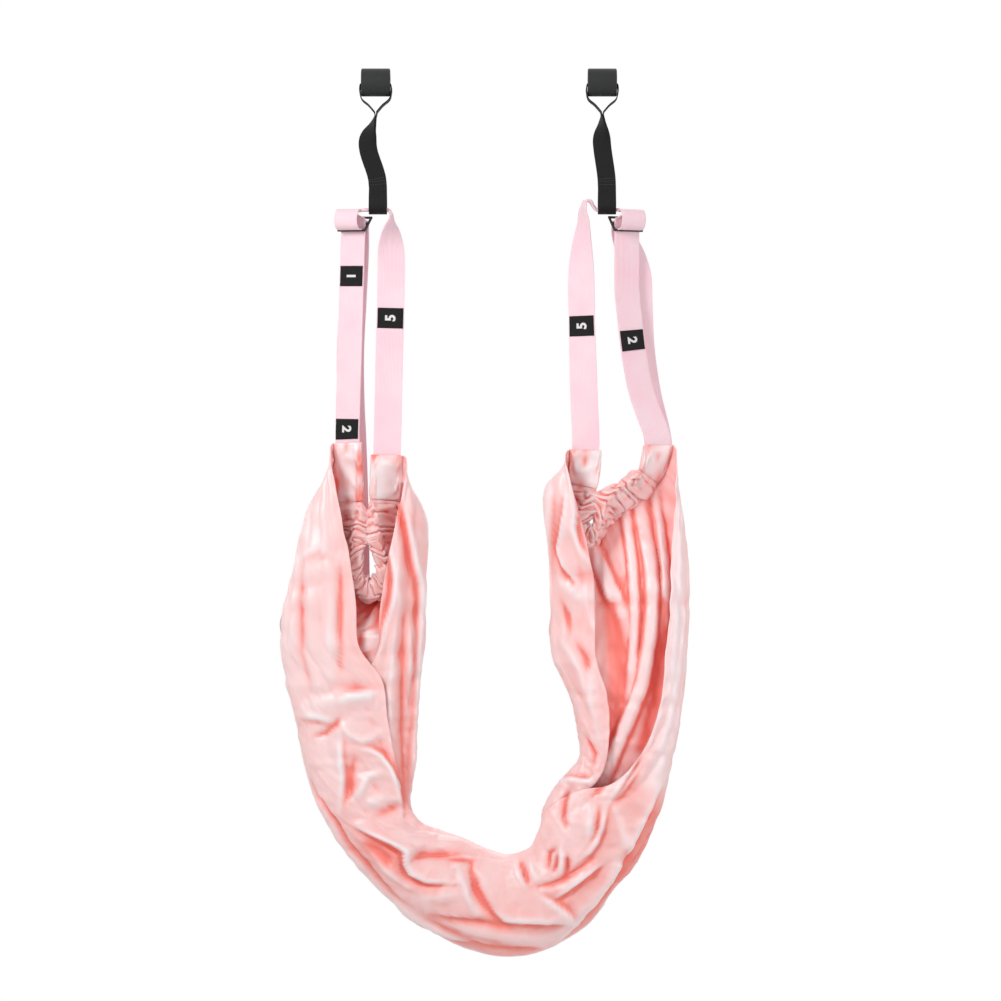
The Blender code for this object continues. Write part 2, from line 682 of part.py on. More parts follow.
def rib_point(rib, row, share):
    """A point of the sling on one rib. share runs from the front edge, round the outer side and
    the back, to the inner edge. The pleats wander a little from rib to rib."""
    centre = (rib["outer"] + rib["inner"]) / 2 - Vector((0, rib["forward"], 0))
    outward = rib["outer"] - rib["inner"]
    half = outward.length / 2
    outward.normalize()
    front = Vector((0, -1, 0))
    slit = rib["slit"]
    open_way = front * math.cos(slit) - outward * math.sin(slit)
    outer_way = outward * math.cos(slit) + front * math.sin(slit)
    angle = rib["gap"] + (2 * math.pi - 2 * rib["gap"]) * share
    way = open_way * math.cos(angle) + outer_way * math.sin(angle)
    radius = math.sqrt(half * rib["depth"])
    wave = math.sin(2 * math.pi * CLOTH_PLEATS * share + 0.55 * row) * math.sin(math.pi * share)
    grow = 1 + (CLOTH_GATHER * wave + CLOTH_LAP * (1 - 2 * share)) / radius
    return centre + outward * way.dot(outward) * half * grow - front * way.dot(-front) * rib["depth"] * grow


def end_point(route, marks, share, flip):
    """Where the sling leaves the casing, and the way it leaves."""
    start, end = marks["mouth_in"], marks["mouth_out"]
    distance = end - (end - start) * share if flip else start + (end - start) * share
    place, _, across, face, _, _ = route.frame(distance)
    outward = SPREAD * smooth(0.45, 0.95, abs(across.y))
    way = (face * outward - across).normalized()
    into_casing = min(distance - start - marks["sleeve_in"], end - marks["sleeve_out"] - distance)
    reach = TUNNEL_HALF_WIDTH + SLEEVE_WALL + CLOTH_THICKNESS / 2 + SEAT_GAP
    reach += RUFFLE_WIDTH * smooth(-0.016, -0.002, into_casing)
    reach += CLOTH_THICKNESS * smooth(0.10, 0.02, min(share, 1 - share))
    return place - across * reach, way


def sling(left, left_marks, right, right_marks, columns=21):
    """The sling: one sheet from casing to casing. Its ends leave the casings' outer edges and
    swell into a trough with pleats, whose front edge laps over the back one."""
    ribs = cloth_ribs()
    shares = [index / (columns - 1) for index in range(columns)]
    rows = []
    for flip, route, marks, near in ((False, left, left_marks, 0), (True, right, right_marks, -1)):
        block = []
        rib = ribs[near]
        row = 0 if near == 0 else len(ribs) - 1
        for t in (0.0, 0.16, 0.36, 0.60, 0.82):
            line = []
            for share in shares:
                first, way = end_point(route, marks, share, flip)
                last = rib_point(rib, row, share)
                front_pull = max(smooth(0.26, 0.02, share), smooth(0.78, 0.98, share))
                side = -1.0 if (share < 0.5) != flip else 1.0
                ahead = Vector((side * 0.30, -1.0, 0.0)).normalized()
                way = (way * (1 - front_pull) + ahead * front_pull).normalized()
                side_share = abs(2 * share - 1)
                flare = 0.006 + 0.040 * smooth(0.12, 0.75, side_share)
                if share > 0.5:
                    flare *= 0.72
                drop = max(0.02, (first.z - last.z) * 0.42)
                second = first + way * flare
                third = last + Vector((0, 0, drop))
                s = 1 - t
                point = (first * s ** 3 + second * 3 * s * s * t + third * 3 * s * t * t
                         + last * t ** 3)
                line.append(point)
            block.append(line)
        rows.append(block)
    middle = [[rib_point(rib, row, share) for share in shares] for row, rib in enumerate(ribs)]
    surface = rows[0] + middle + list(reversed(rows[1]))
    return sheet_solid("sling", surface, CLOTH_THICKNESS, SATIN)


def sheet_solid(name, surface, thickness, look):
    """A closed solid of even thickness about a grid of points."""
    high, wide = len(surface), len(surface[0])
    bm = bmesh.new()
    sides = []
    for sign in (1, -1):
        layer = []
        for j in range(high):
            line = []
            for i in range(wide):
                down = surface[min(high - 1, j + 1)][i] - surface[max(0, j - 1)][i]
                over = surface[j][min(wide - 1, i + 1)] - surface[j][max(0, i - 1)]
                normal = down.cross(over).normalized()
                line.append(bm.verts.new(surface[j][i] + normal * sign * thickness / 2))
            layer.append(line)
        sides.append(layer)
    for layer in sides:
        for j in range(high - 1):
            for i in range(wide - 1):
                corners = (layer[j][i], layer[j][i + 1], layer[j + 1][i + 1], layer[j + 1][i])
                bm.faces.new(corners)
    top, bottom = sides
    rim = [(0, i) for i in range(wide)] + [(j, wide - 1) for j in range(1, high)]
    rim += [(high - 1, i) for i in range(wide - 2, -1, -1)] + [(j, 0) for j in range(high - 2, 0, -1)]
    for (j, i), (n, k) in zip(rim, rim[1:] + rim[:1]):
        bm.faces.new((top[j][i], bottom[j][i], bottom[n][k], top[n][k]))
    return add_object(name, bm, look, 70.0)


def patch_edges(middles):
    """Both edges of each patch, in order along the strap."""
    edges = []
    for middle in middles:
        edges += [middle - PATCH_HEIGHT / 2, middle + PATCH_HEIGHT / 2]
    return edges


def patch(name, route, stops, middle, shift):
    """A number patch on one face of a strap, bent as the strap is."""
    low, high = patch_edges([middle])
    own = [at for at in stops if low - 1e-6 < at < high + 1e-6]
    return strip(name, route, PATCH, own, False, PATCH_WIDTH, PATCH_THICKNESS, shift)


def distance_at_height(route, low, high, z):
    """The distance between low and high at which a route that only rises or falls is at z."""
    falling = route.sample(low)[0].z > route.sample(high)[0].z
    for _ in range(40):
        middle = (low + high) / 2
        below = route.sample(middle)[0].z < z
        if below == falling:
            high = middle
        else:
            low = middle
    return (low + high) / 2


def build():
    for old in list(bpy.data.objects):
        bpy.data.objects.remove(old)

    bodies = {}
    for side, x, bow, foot in (("left", LEFT_X, LEFT_BOW, LEFT_FOOT),
                               ("right", RIGHT_X, RIGHT_BOW, RIGHT_FOOT)):
        turned_tube(f"{side}_core_tube", (x, 0, 0), CORE_BORE_R, CORE_OUTER_R, ROLLER_LENGTH,
                    0, CORE, 24)
        turned_tube(f"{side}_foam_roller", (x, 0, 0), CORE_OUTER_R + SEAT_GAP,
                    ROLLER_DIAMETER / 2, ROLLER_LENGTH, ROLLER_EDGE, FOAM, 28)
        web = anchor_webbing(f"{side}_anchor_webbing", x, bow, foot)
        pivot(f"{side}_hanger_pivot", (x, 0, 0), [web])

    left, left_marks = left_loop()
    right, right_marks = right_loop()
    left_first = distance_at_height(left, left_marks["run_top"], left_marks["mouth_in"],
                                    LEFT_PATCH_Z)
    right_first = distance_at_height(right, right.station_at[6], right_marks["mouth_in"],
                                     RIGHT_PATCH_Z)
    hung = []
    for side, route, marks, first, count, number, step, names in (
            ("left", left, left_marks, left_first, 5, 1, 1, ("outer", "inner")),
            ("right", right, right_marks, right_first, 4, 5, -1, ("inner", "outer"))):
        middles = [first + index * PATCH_PITCH for index in range(count)]
        mouth_in, mouth_out = marks["mouth_in"], marks["mouth_out"]
        casing_in = mouth_in + marks["sleeve_in"]
        casing_out = mouth_out - marks["sleeve_out"]
        tunnel_ends = [mouth_in, casing_in, casing_out, mouth_out]
        corners = sorted(patch_edges(middles) + tunnel_ends + [marks["run_top"]]
                         + route.station_at[-4:])
        stops = route.stops([0.0] + corners + [route.length], 8.0, 0.06)
        hung.append(strip(f"{side}_strap", route, PINK_WEB, stops, True))
        for index, middle in enumerate(middles):
            hung.append(patch(f"{side}_patch_{number + index * step}", route, stops, middle,
                              PATCH_SHIFT))
        pieces = (
            (f"{side}_{names[0]}_sleeve", mouth_in, casing_in, False),
            (f"{side}_casing", casing_in + SEAT_GAP, casing_out - SEAT_GAP, True),
            (f"{side}_{names[1]}_sleeve", casing_out, mouth_out, False),
        )
        for name, low, high, ruffled in pieces:
            own = [low] + [at for at in stops if low + 0.001 < at < high - 0.001] + [high]
            hung.append(tunnel(name, route, SATIN, own, ruffled))
    hung.append(sling(left, left_marks, right, right_marks))
    pivot("sling_pivot", (0, 0, EYE_CENTRE_Z), hung)

    left_run = RunFrame(left, distance_at_height(left, left_marks["run_top"],
                                                 left_marks["mouth_in"], -SLIDER_DROP))
    right_run = RunFrame(right, distance_at_height(right, right_marks["mouth_out"],
                                                   right_marks["run_top"], -SLIDER_DROP))
    through = [(0.0086, 0.0016), (0.0085, 0.0042), (0.0074, 0.0070), (0.0046, 0.0092),
               (-0.0040, 0.0103)]
    left_tail = tail_stations(left_run, LEFT_TURN, through) + [
        station(LEFT_X - 0.028, 0.014, -0.235, 18),
        station(LEFT_X - 0.032, 0.019, -0.300, 10),
        station(LEFT_X - 0.036, 0.027, -0.370, 4),
        station(LEFT_X - 0.036, 0.034, -0.430, 0),
        station(LEFT_X - 0.033, 0.0365, -0.500, 0),
        station(LEFT_X - 0.030, 0.0365, -0.600, 0),
        station(LEFT_X - 0.028, 0.0365, -0.729, 0),
    ]
    right_tail = tail_stations(right_run, RIGHT_TURN, through) + [
        station(RIGHT_X + 0.034, 0.0120, -0.222, 157),
        station(RIGHT_X + 0.043, 0.0150, -0.241, 160),
        station(RIGHT_X + 0.0495, 0.0165, -0.262, 165),
        station(RIGHT_X + 0.0515, 0.0180, -0.300, 170),
        station(RIGHT_X + 0.055, 0.024, -0.370, 172),
        station(RIGHT_X + 0.064, 0.034, -0.430, 176),
        station(RIGHT_X + 0.078, 0.0365, -0.490, 180),
        station(RIGHT_X + 0.082, 0.0365, -0.600, 180),
        station(RIGHT_X + 0.082, 0.0365, -0.700, 180),
    ]
    for side, run, tail in (("left", left_run, left_tail), ("right", right_run, right_tail)):
        route = Route(tail, False)
        marks = patch_edges([TAIL_PATCH_AT]) if side == "right" else []
        stops = route.stops([0.0] + marks + [route.length], 10.0, 0.06)
        carried = [
            slider(f"{side}_slider", run),
            strap_fold(f"{side}_strap_fold", run),
            strip(f"{side}_strap_tail", route, PINK_WEB, stops),
        ]
        if side == "right":
            carried.append(patch("right_patch_1", route, stops, TAIL_PATCH_AT, PATCH_SHIFT))
        pivot(f"{side}_slider_pivot", run.place, carried)


build()
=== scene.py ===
# %% [markdown]
# # An aerial yoga rope, dressed
#
# The object is a long sling of glossy stretch cloth. Each gathered end is threaded on a pink
# webbing loop, and the loops hang from two foam rollers that sit behind the top of a door.
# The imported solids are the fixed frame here. The lesson covers each one with cloth, webbing or
# foam that looks like the real thing and stays where the solid is.

import math
import time

import bpy
import numpy as np
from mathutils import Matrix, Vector, noise


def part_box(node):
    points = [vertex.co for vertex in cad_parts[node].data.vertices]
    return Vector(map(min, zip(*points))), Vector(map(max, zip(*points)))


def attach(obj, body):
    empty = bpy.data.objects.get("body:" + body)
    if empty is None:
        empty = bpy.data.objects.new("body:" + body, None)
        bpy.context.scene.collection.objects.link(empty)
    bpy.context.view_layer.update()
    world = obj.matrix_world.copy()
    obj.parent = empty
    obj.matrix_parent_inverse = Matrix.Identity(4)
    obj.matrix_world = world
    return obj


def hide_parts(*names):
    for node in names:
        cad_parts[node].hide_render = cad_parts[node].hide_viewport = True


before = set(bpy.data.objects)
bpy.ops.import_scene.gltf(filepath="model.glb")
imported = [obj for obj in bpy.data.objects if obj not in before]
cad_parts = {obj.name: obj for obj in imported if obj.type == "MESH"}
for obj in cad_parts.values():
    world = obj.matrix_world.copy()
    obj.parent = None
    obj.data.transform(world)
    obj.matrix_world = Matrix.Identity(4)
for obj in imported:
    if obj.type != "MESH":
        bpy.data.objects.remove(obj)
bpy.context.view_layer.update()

# %% [markdown]
# ## The photographer's place
#
# The photograph is taken straight on from far away, so both legs look equally big. A long lens
# at five metres does the same. One millimetre is 0.72 of a pixel at the straps.

# %% Camera
# ORIGIN is the pixel of the photograph where the frame's origin lies.
PIXEL, PHOTO_SIDE, ORIGIN_X, ORIGIN_Y = 0.001382, 1001, 489, 82.5
FRAME_SIDE = PHOTO_SIDE * PIXEL
LENS, SENSOR = 135.0, 36.0
middle_x = (PHOTO_SIDE / 2 - ORIGIN_X) * PIXEL
middle_z = (ORIGIN_Y - PHOTO_SIDE / 2) * PIXEL
camera_data = bpy.data.cameras.new("camera")
camera_data.lens = LENS
camera_data.sensor_width = SENSOR
camera_data.clip_end = 50
camera = bpy.data.objects.new("camera", camera_data)
camera.location = (middle_x, -FRAME_SIDE * LENS / SENSOR, middle_z)
camera.rotation_euler = (math.pi / 2, 0, 0)
bpy.context.scene.collection.objects.link(camera)
bpy.context.scene.camera = camera
print("camera stands", round(-camera.location.y, 2), "m in front")

# %% [markdown]
# ## Studio
#
# Pale satin shows its folds only if the light comes more from one side than from the other.
# A big soft lamp high on the left does the modelling, and a weaker one on the right and the
# grey world keep the shadows open. The background is white for rays that come from the
# camera or by way of a mirror or glass, so it adds no light to the cloth. There is no
# backdrop, because the object is also looked at from behind: only a small floor, which keeps
# the shadow and fades into the white.

# %% Helpers for materials, nodes and lamps
def shader_of(material):
    return material.node_tree.nodes["Principled BSDF"]


def new_material(name, colour, roughness, **inputs):
    made = bpy.data.materials.new(name)
    made.use_nodes = True
    shader = shader_of(made)
    shader.inputs["Base Color"].default_value = (*colour, 1)
    shader.inputs["Roughness"].default_value = roughness
    for key, value in inputs.items():
        shader.inputs[key.replace("_", " ")].default_value = value
    return made


def add_node(tree, kind, values=None, links=None, **settings):
    """Adds a node with its settings, the values of its sockets and the links into them."""
    made = tree.nodes.new("ShaderNode" + kind)
    for key, value in settings.items():
        setattr(made, key, value)
    for key, value in (values or {}).items():
        made.inputs[key].default_value = value
    for key, output in (links or {}).items():
        tree.links.new(output, made.inputs[key])
    return made


def soft_lamp(name, place, aim, side, watts):
    data = bpy.data.lights.new(name, "AREA")
    data.shape = "SQUARE"
    data.size = side
    data.energy = watts
    lamp = bpy.data.objects.new(name, data)
    lamp.location = place
    lamp.rotation_euler = (Vector(aim) - Vector(place)).to_track_quat("-Z", "Y").to_euler()
    bpy.context.scene.collection.objects.link(lamp)


# %% World, lamps and floor
scene = bpy.context.scene
scene.view_settings.view_transform = "Standard"
world = scene.world or bpy.data.worlds.new("world")
scene.world = world
world.use_nodes = True
tree = world.node_tree
tree.nodes.clear()


def seen_directly(tree):
    """1 for rays that come from the camera, or by way of a mirror or glass."""
    rays = add_node(tree, "LightPath").outputs
    straight = add_node(tree, "Math", links={0: rays["Is Camera Ray"], 1: rays["Is Glossy Ray"]},
                        operation="MAXIMUM")
    every = add_node(tree, "Math", links={0: straight.outputs[0], 1: rays["Is Transmission Ray"]},
                     operation="MAXIMUM")
    return every.outputs[0]


SKY_LIGHT = 0.50  # for the rays that light the object; the camera sees full white
strength = add_node(tree, "MapRange", {"To Min": SKY_LIGHT, "To Max": 1.0},
                    {"Value": seen_directly(tree)})
sky = add_node(tree, "Background", {"Color": (1, 1, 1, 1)}, {"Strength": strength.outputs["Result"]})
add_node(tree, "OutputWorld", links={"Surface": sky.outputs[0]})

soft_lamp("key_lamp", (-1.7, -1.9, 0.9), (0, 0, -0.7), 1.0, 48)
soft_lamp("fill_lamp", (2.2, -2.2, -0.2), (0, 0, -0.7), 1.6, 26)
soft_lamp("back_lamp", (0.6, 2.0, 1.0), (0, 0, -0.6), 1.4, 18)


def floor_material():
    """Pale paint that keeps the shadow, and fades to the white of the world at its rim."""
    made = bpy.data.materials.new("white_floor")
    made.use_nodes = True
    tree = made.node_tree
    tree.nodes.clear()
    paint = add_node(tree, "BsdfDiffuse", {"Color": (0.88, 0.88, 0.88, 1)})
    glow = add_node(tree, "Emission")
    place = add_node(tree, "TexCoord")
    far = add_node(tree, "VectorMath", links={0: place.outputs["Object"]}, operation="LENGTH")
    fade = add_node(tree, "MapRange", {"From Min": 0.35, "From Max": 1.5},
                    {"Value": far.outputs["Value"]}, interpolation_type="SMOOTHSTEP")
    white = add_node(tree, "Math", links={0: seen_directly(tree), 1: fade.outputs["Result"]},
                     operation="MULTIPLY")
    mix = add_node(tree, "MixShader",
                   links={"Fac": white.outputs[0], 1: paint.outputs[0], 2: glow.outputs[0]})
    add_node(tree, "OutputMaterial", links={"Surface": mix.outputs[0]})
    return made


def deselect():
    if bpy.context.mode != "OBJECT":
        bpy.ops.object.mode_set(mode="OBJECT")
    bpy.ops.object.select_all(action="DESELECT")


deselect()
FLOOR_SIDE, FLOOR_Z = 3.2, -1.62
bpy.ops.mesh.primitive_plane_add(size=FLOOR_SIDE, location=(0, 0, FLOOR_Z))
floor = bpy.context.object
floor.name = "floor"
floor.data.materials.append(floor_material())
print("floor", FLOOR_SIDE, "m wide at", FLOOR_Z, "m,", len(bpy.data.lights), "lamps")

# %% [markdown]
# ## Where the webbing runs
#
# Webbing bends easily over its flat side and hardly at all over its edge, so a strap is told
# by a line and by the way its width points. The line is set by a few stations, and the same
# stations made the solids: place, yaw of the width, lift of the width, width and thickness.
# Between stations everything is eased, weighted by the distance.

# %% A route through stations
STRAP_WIDTH, STRAP_THICKNESS = 0.038, 0.0018
WEB_WIDTH, WEB_THICKNESS = 0.025, 0.0016


def station(x, y, z, turn, width=STRAP_WIDTH, thickness=STRAP_THICKNESS, dip=0.0):
    return (x, y, z, turn, dip, width, thickness)


class Route:
    """A smooth line through stations, read at any distances along it."""

    def __init__(self, stations, closed):
        table = np.array(stations, float)
        self.closed = closed
        after = np.roll(table, -1, axis=0)
        before = np.roll(table, 1, axis=0)
        gap = np.linalg.norm((after - table)[:, :3], axis=1)
        gap_before = np.roll(gap, 1)
        first = (table - before) / gap_before[:, None]
        second = (after - table) / gap[:, None]
        slope = (first * gap[:, None] + second * gap_before[:, None])
        slope /= (gap + gap_before)[:, None]
        if not closed:
            slope[0], slope[-1] = second[0], first[-1]
        samples, marks = [], []
        for n in range(len(table) if closed else len(table) - 1):
            m = (n + 1) % len(table)
            marks.append(len(samples))
            for t in np.arange(16) / 16:
                s = 1 - t
                samples.append(table[n] * s * s * (1 + 2 * t) + table[m] * t * t * (1 + 2 * s)
                               + (slope[n] * s - slope[m] * t) * gap[n] * t * s)
        if not closed:
            marks.append(len(samples))
        samples.append(table[0] if closed else table[-1])
        self.samples = np.array(samples)
        steps = np.linalg.norm(np.diff(self.samples[:, :3], axis=0), axis=1)
        self.distance = np.concatenate(([0], np.cumsum(steps)))
        self.length = self.distance[-1]
        self.station_at = self.distance[marks]

    def sample(self, distance):
        distance = np.atleast_1d(np.asarray(distance, float))
        if self.closed:
            distance = distance % self.length
        return np.stack([np.interp(distance, self.distance, column)
                         for column in self.samples.T], axis=1)

    def frame(self, distance):
        """Place, direction along, direction across, face direction, width and thickness."""
        distance = np.atleast_1d(np.asarray(distance, float))
        found = self.sample(distance)
        low, high = distance - 0.001, distance + 0.001
        if not self.closed:
            low, high = np.maximum(low, 0), np.minimum(high, self.length)
        along = unit(self.sample(high)[:, :3] - self.sample(low)[:, :3])
        turn, dip = np.radians(found[:, 3]), np.radians(found[:, 4])
        across = np.stack([np.cos(turn) * np.cos(dip), -np.sin(turn) * np.cos(dip), np.sin(dip)],
                          axis=1)
        across = unit(across - along * (across * along).sum(1, keepdims=True))
        return found[:, :3], along, across, np.cross(along, across), found[:, 5], found[:, 6]


def unit(vectors):
    return vectors / np.linalg.norm(vectors, axis=-1, keepdims=True)


def smooth(low, high, x):
    t = np.clip((x - low) / (high - low), 0, 1)
    return t * t * (3 - 2 * t)


# %% [markdown]
# The four runs of strap meet the black eyes at the top and the sling's mouths at half height.
# Both loops differ a little, because a hanging strap never settles the same way twice.

# %% Measures of the loops, and the part in the eye
ANCHOR_SPACING, HANGER_DROP, RUN_LENGTH = 0.313, 0.1824, 0.3155
LEFT_X, RIGHT_X = -ANCHOR_SPACING / 2, ANCHOR_SPACING / 2
MOUTH_Z = -HANGER_DROP - RUN_LENGTH
EYE_RADIUS = 0.0106
EYE_Z = -HANGER_DROP + WEB_THICKNESS + EYE_RADIUS
SLIDER_DROP = HANGER_DROP + 0.0176
RUN_TOP = SLIDER_DROP - 0.010
LEFT_TURN, RIGHT_TURN = 28.0, 155.0
BUNCH_WIDTH, BUNCH_THICKNESS = 0.012, 0.005
LEFT_FOOT, RIGHT_FOOT = 0.003, 0.0065


def strap_eye(anchor_x, foot):
    half = WEB_WIDTH / 2 + 0.0005
    rest = math.sqrt((EYE_RADIUS - 0.0003) ** 2 - (BUNCH_WIDTH / 2) ** 2)
    z = EYE_Z - rest + BUNCH_THICKNESS / 2
    x = anchor_x + foot
    return [station(x + half * share, 0, z, 90, BUNCH_WIDTH, BUNCH_THICKNESS)
            for share in (1.06, 1, -1, -1.06)], x, z


# %% The left loop
def left_loop():
    x0, m = LEFT_X, MOUTH_Z
    eye, eye_x, eye_z = strap_eye(x0, LEFT_FOOT)
    run_x, half, run_foot = x0 - 0.031, WEB_WIDTH / 2, MOUTH_Z + 0.014

    def run(z):
        return station(run_x - 0.0293 * (-z - SLIDER_DROP), 0, z, LEFT_TURN)

    down = [
        station(eye_x - half - 0.0075, 0.0003, eye_z - 0.0002, 84, 0.0130, 0.0046),
        station(eye_x - half - 0.0140, 0.0009, eye_z - 0.0011, 74, 0.0145, 0.0043),
        station(eye_x - half - 0.0187, 0.0012, eye_z - 0.0035, 62, 0.0170, 0.0037),
        station(run_x + 0.0001, 0.0004, eye_z - 0.0105, 35, 0.0295, 0.0023),
        run(-RUN_TOP), run(-RUN_TOP - 0.001), run((run_foot - RUN_TOP) / 2),
        run(run_foot + 0.008), run(run_foot),
    ]
    tunnel_part = [
        station(x0 - 0.039, 0, m, LEFT_TURN), station(x0 - 0.038, 0, m - 0.045, LEFT_TURN),
        station(x0 - 0.037, 0, m - 0.086, 32), station(x0 - 0.036, 0, m - 0.134, 66),
        station(x0 - 0.031, 0, m - 0.176, 86), station(x0 - 0.021, 0, m - 0.203, 90),
        station(x0 - 0.006, 0, m - 0.212, 90), station(x0 + 0.007, 0, m - 0.202, 90),
        station(x0 + 0.012, 0, m - 0.176, 94), station(x0 + 0.0125, 0, m - 0.134, 116),
        station(x0 + 0.0125, 0, m - 0.092, 150), station(x0 + 0.014, 0, m - 0.052, 172),
        station(x0 + 0.0155, 0, m - 0.017, 178),
    ]
    up = [
        station(x0 + 0.0165, 0, m + 0.018, 180), station(x0 + 0.0185, 0, m + 0.110, 180),
        station(x0 + 0.0210, 0, m + 0.210, 180), station(x0 + 0.0215, 0, m + 0.250, 174),
        station(x0 + 0.0212, 0, m + 0.280, 148, 0.036, 0.0019),
        station(x0 + 0.0215, 0, m + 0.301, 122, 0.028, 0.0024),
        station(eye_x + half + 0.0065, 0, eye_z - 0.0110, 104, 0.018, 0.0036),
        station(eye_x + half + 0.0052, 0, eye_z - 0.0040, 96, 0.0135, 0.0046),
    ]
    route = Route(down + tunnel_part + up + eye, True)
    marks = route.station_at
    return route, {"mouth_in": marks[9], "mouth_out": marks[21], "run_top": marks[4],
                   "sleeve_in": 0.082, "sleeve_out": 0.062}


# %% The right loop
def right_loop():
    x0, m = RIGHT_X, MOUTH_Z
    eye, eye_x, eye_z = strap_eye(x0, RIGHT_FOOT)
    half, run_x = WEB_WIDTH / 2, x0 + 0.034
    down = [
        station(eye_x - half - 0.0060, 0, eye_z + 0.0045, 88, 0.013, 0.0047),
        station(eye_x - half - 0.0110, 0, eye_z + 0.0125, 84, 0.015, 0.0042),
        station(eye_x - half - 0.0160, 0, eye_z + 0.0130, 78, 0.018, 0.0036),
        station(eye_x - half - 0.0205, 0, eye_z + 0.0040, 70, 0.022, 0.0030),
        station(x0 - 0.0262, 0, eye_z - 0.018, 58, 0.029, 0.0024),
        station(x0 - 0.028, 0, m + 0.276, 44, 0.035, 0.0019),
        station(x0 - 0.029, 0, m + 0.238, 26), station(x0 - 0.028, 0, m + 0.161, 20),
        station(x0 - 0.025, 0, m + 0.060, 2),
    ]
    tunnel_part = [
        station(x0 - 0.023, 0, m - 0.010, 0), station(x0 - 0.025, 0, m - 0.040, 6),
        station(x0 - 0.031, 0, m - 0.072, 34), station(x0 - 0.037, 0, m - 0.102, 74),
        station(x0 - 0.037, 0, m - 0.124, 88), station(x0 - 0.026, 0, m - 0.1385, 90, dip=8),
        station(x0 - 0.010, 0, m - 0.130, 90, dip=24), station(x0 + 0.001, 0, m - 0.106, 90, dip=44),
        station(x0 + 0.017, 0, m - 0.083, 92, dip=54), station(x0 + 0.042, 0, m - 0.066, 102, dip=52),
        station(x0 + 0.063, 0, m - 0.047, 124, dip=36), station(x0 + 0.074, 0, m - 0.023, 146, dip=16),
        station(x0 + 0.0775, 0, m - 0.003, 158),
    ]
    up = [
        station(x0 + 0.0745, 0, m + 0.014, 160), station(x0 + 0.066, 0, m + 0.036, 158),
        station(x0 + 0.054, 0, m + 0.070, 156), station(x0 + 0.0445, 0, m + 0.117, RIGHT_TURN),
        station(x0 + 0.0375, 0, m + 0.176, RIGHT_TURN), station(run_x + 0.0006, 0, m + 0.204, RIGHT_TURN),
        station(run_x, 0, m + 0.215, RIGHT_TURN), station(run_x, 0, m + 0.2155, RIGHT_TURN),
        station(run_x, 0, -RUN_TOP - 0.001, RIGHT_TURN), station(run_x, 0, -RUN_TOP, RIGHT_TURN),
        station(run_x, 0.0004, eye_z - 0.0105, 145, 0.0295, 0.0023),
        station(run_x - 0.0023, 0.0012, eye_z - 0.0037, 116, 0.0170, 0.0037),
        station(run_x - 0.0060, 0.0009, eye_z - 0.0013, 105, 0.0145, 0.0043),
        station(eye_x + half + 0.0045, 0.0003, eye_z - 0.0002, 96, 0.0130, 0.0046),
    ]
    route = Route(down + tunnel_part + up + eye, True)
    marks = route.station_at
    return route, {"mouth_in": marks[9], "mouth_out": marks[21], "run_top": marks[31],
                   "sleeve_in": 0.050, "sleeve_out": 0.046}


left_route, left_marks = left_loop()
right_route, right_marks = right_loop()
print("left loop", round(left_route.length, 3), "m, right loop", round(right_route.length, 3), "m")

# %% [markdown]
# ## Laying cloth on a grid
#
# Every strap and every cloth here starts as Blender's flat grid. A grid comes with a UV map,
# and when each of its points is carried to its place on the product, the map stays and says
# how far along and across the cloth each thread is. The map is kept in metres, so one weave
# material fits a short patch and a long strap.

# %% Cloth from a grid
def lay_grid(name, points, size, closed=False):
    """points is rows x columns x 3. size is the cloth's width and length in metres."""
    rows, columns = points.shape[:2]
    deselect()
    bpy.ops.mesh.primitive_grid_add(x_subdivisions=columns - 1, y_subdivisions=rows - 1, size=1)
    piece = bpy.context.object
    piece.name = piece.data.name = name
    mesh = piece.data
    mesh.vertices.foreach_set("co", points.reshape(-1, 3).astype(np.float32).ravel())
    layer = mesh.uv_layers[0]
    layer.name = "thread"
    uv = np.zeros(len(mesh.loops) * 2, np.float32)
    layer.data.foreach_get("uv", uv)
    uv = (uv.reshape(-1, 2) * np.array(size, np.float32)).ravel()
    layer.data.foreach_set("uv", uv)
    mesh.update()
    if closed:
        close_seam(piece)
    return piece


def close_seam(piece):
    bpy.ops.object.mode_set(mode="EDIT")
    bpy.ops.mesh.select_all(action="SELECT")
    bpy.ops.mesh.remove_doubles(threshold=0.00002)
    bpy.ops.object.mode_set(mode="OBJECT")
    piece.data.update()


def finish_with(piece, kind, **settings):
    """Adds a modifier and applies it."""
    deselect()
    bpy.context.view_layer.objects.active = piece
    piece.select_set(True)
    modifier = piece.modifiers.new(kind.lower(), kind)
    for key, value in settings.items():
        setattr(modifier, key, value)
    bpy.ops.object.modifier_apply(modifier=modifier.name)
    return piece


# %% Hollows and crests of a cloth, for painted shade and painted highlight
def spread(values, reach):
    """The mean of each value's neighbours, within reach rows and columns."""
    for axis in (0, 1):
        padding = [(reach, reach) if n == axis else (0, 0) for n in range(values.ndim)]
        total = np.cumsum(np.pad(values, padding, mode="edge"), axis=axis)
        total = np.concatenate((np.zeros_like(np.take(total, [0], axis)), total), axis=axis)
        size = values.shape[axis]
        high = np.take(total, np.arange(size) + 2 * reach + 1, axis)
        values = (high - np.take(total, np.arange(size), axis)) / (2 * reach + 1)
    return values


def normals_of(grid):
    down = np.gradient(grid, axis=0)
    over = np.gradient(grid, axis=1)
    return unit(np.cross(down, over))


def hollow_of(grid, outside, reach, least, most):
    """0 on ridges and 1 in valleys: how deep a point lies under the mean of its neighbours."""
    return smooth(least, most, ((spread(grid, reach) - grid) * outside).sum(-1))


def mark_hollows(piece, painted_shading):
    """Keeps the painted shade of the valleys and the painted highlight of the crests on the piece, for its
    material. The values have the grid's rows and columns.
    """
    shade = piece.data.attributes.new("painted_shading", "FLOAT", "POINT")
    shade.data.foreach_set("value", painted_shading.astype(np.float32).ravel())


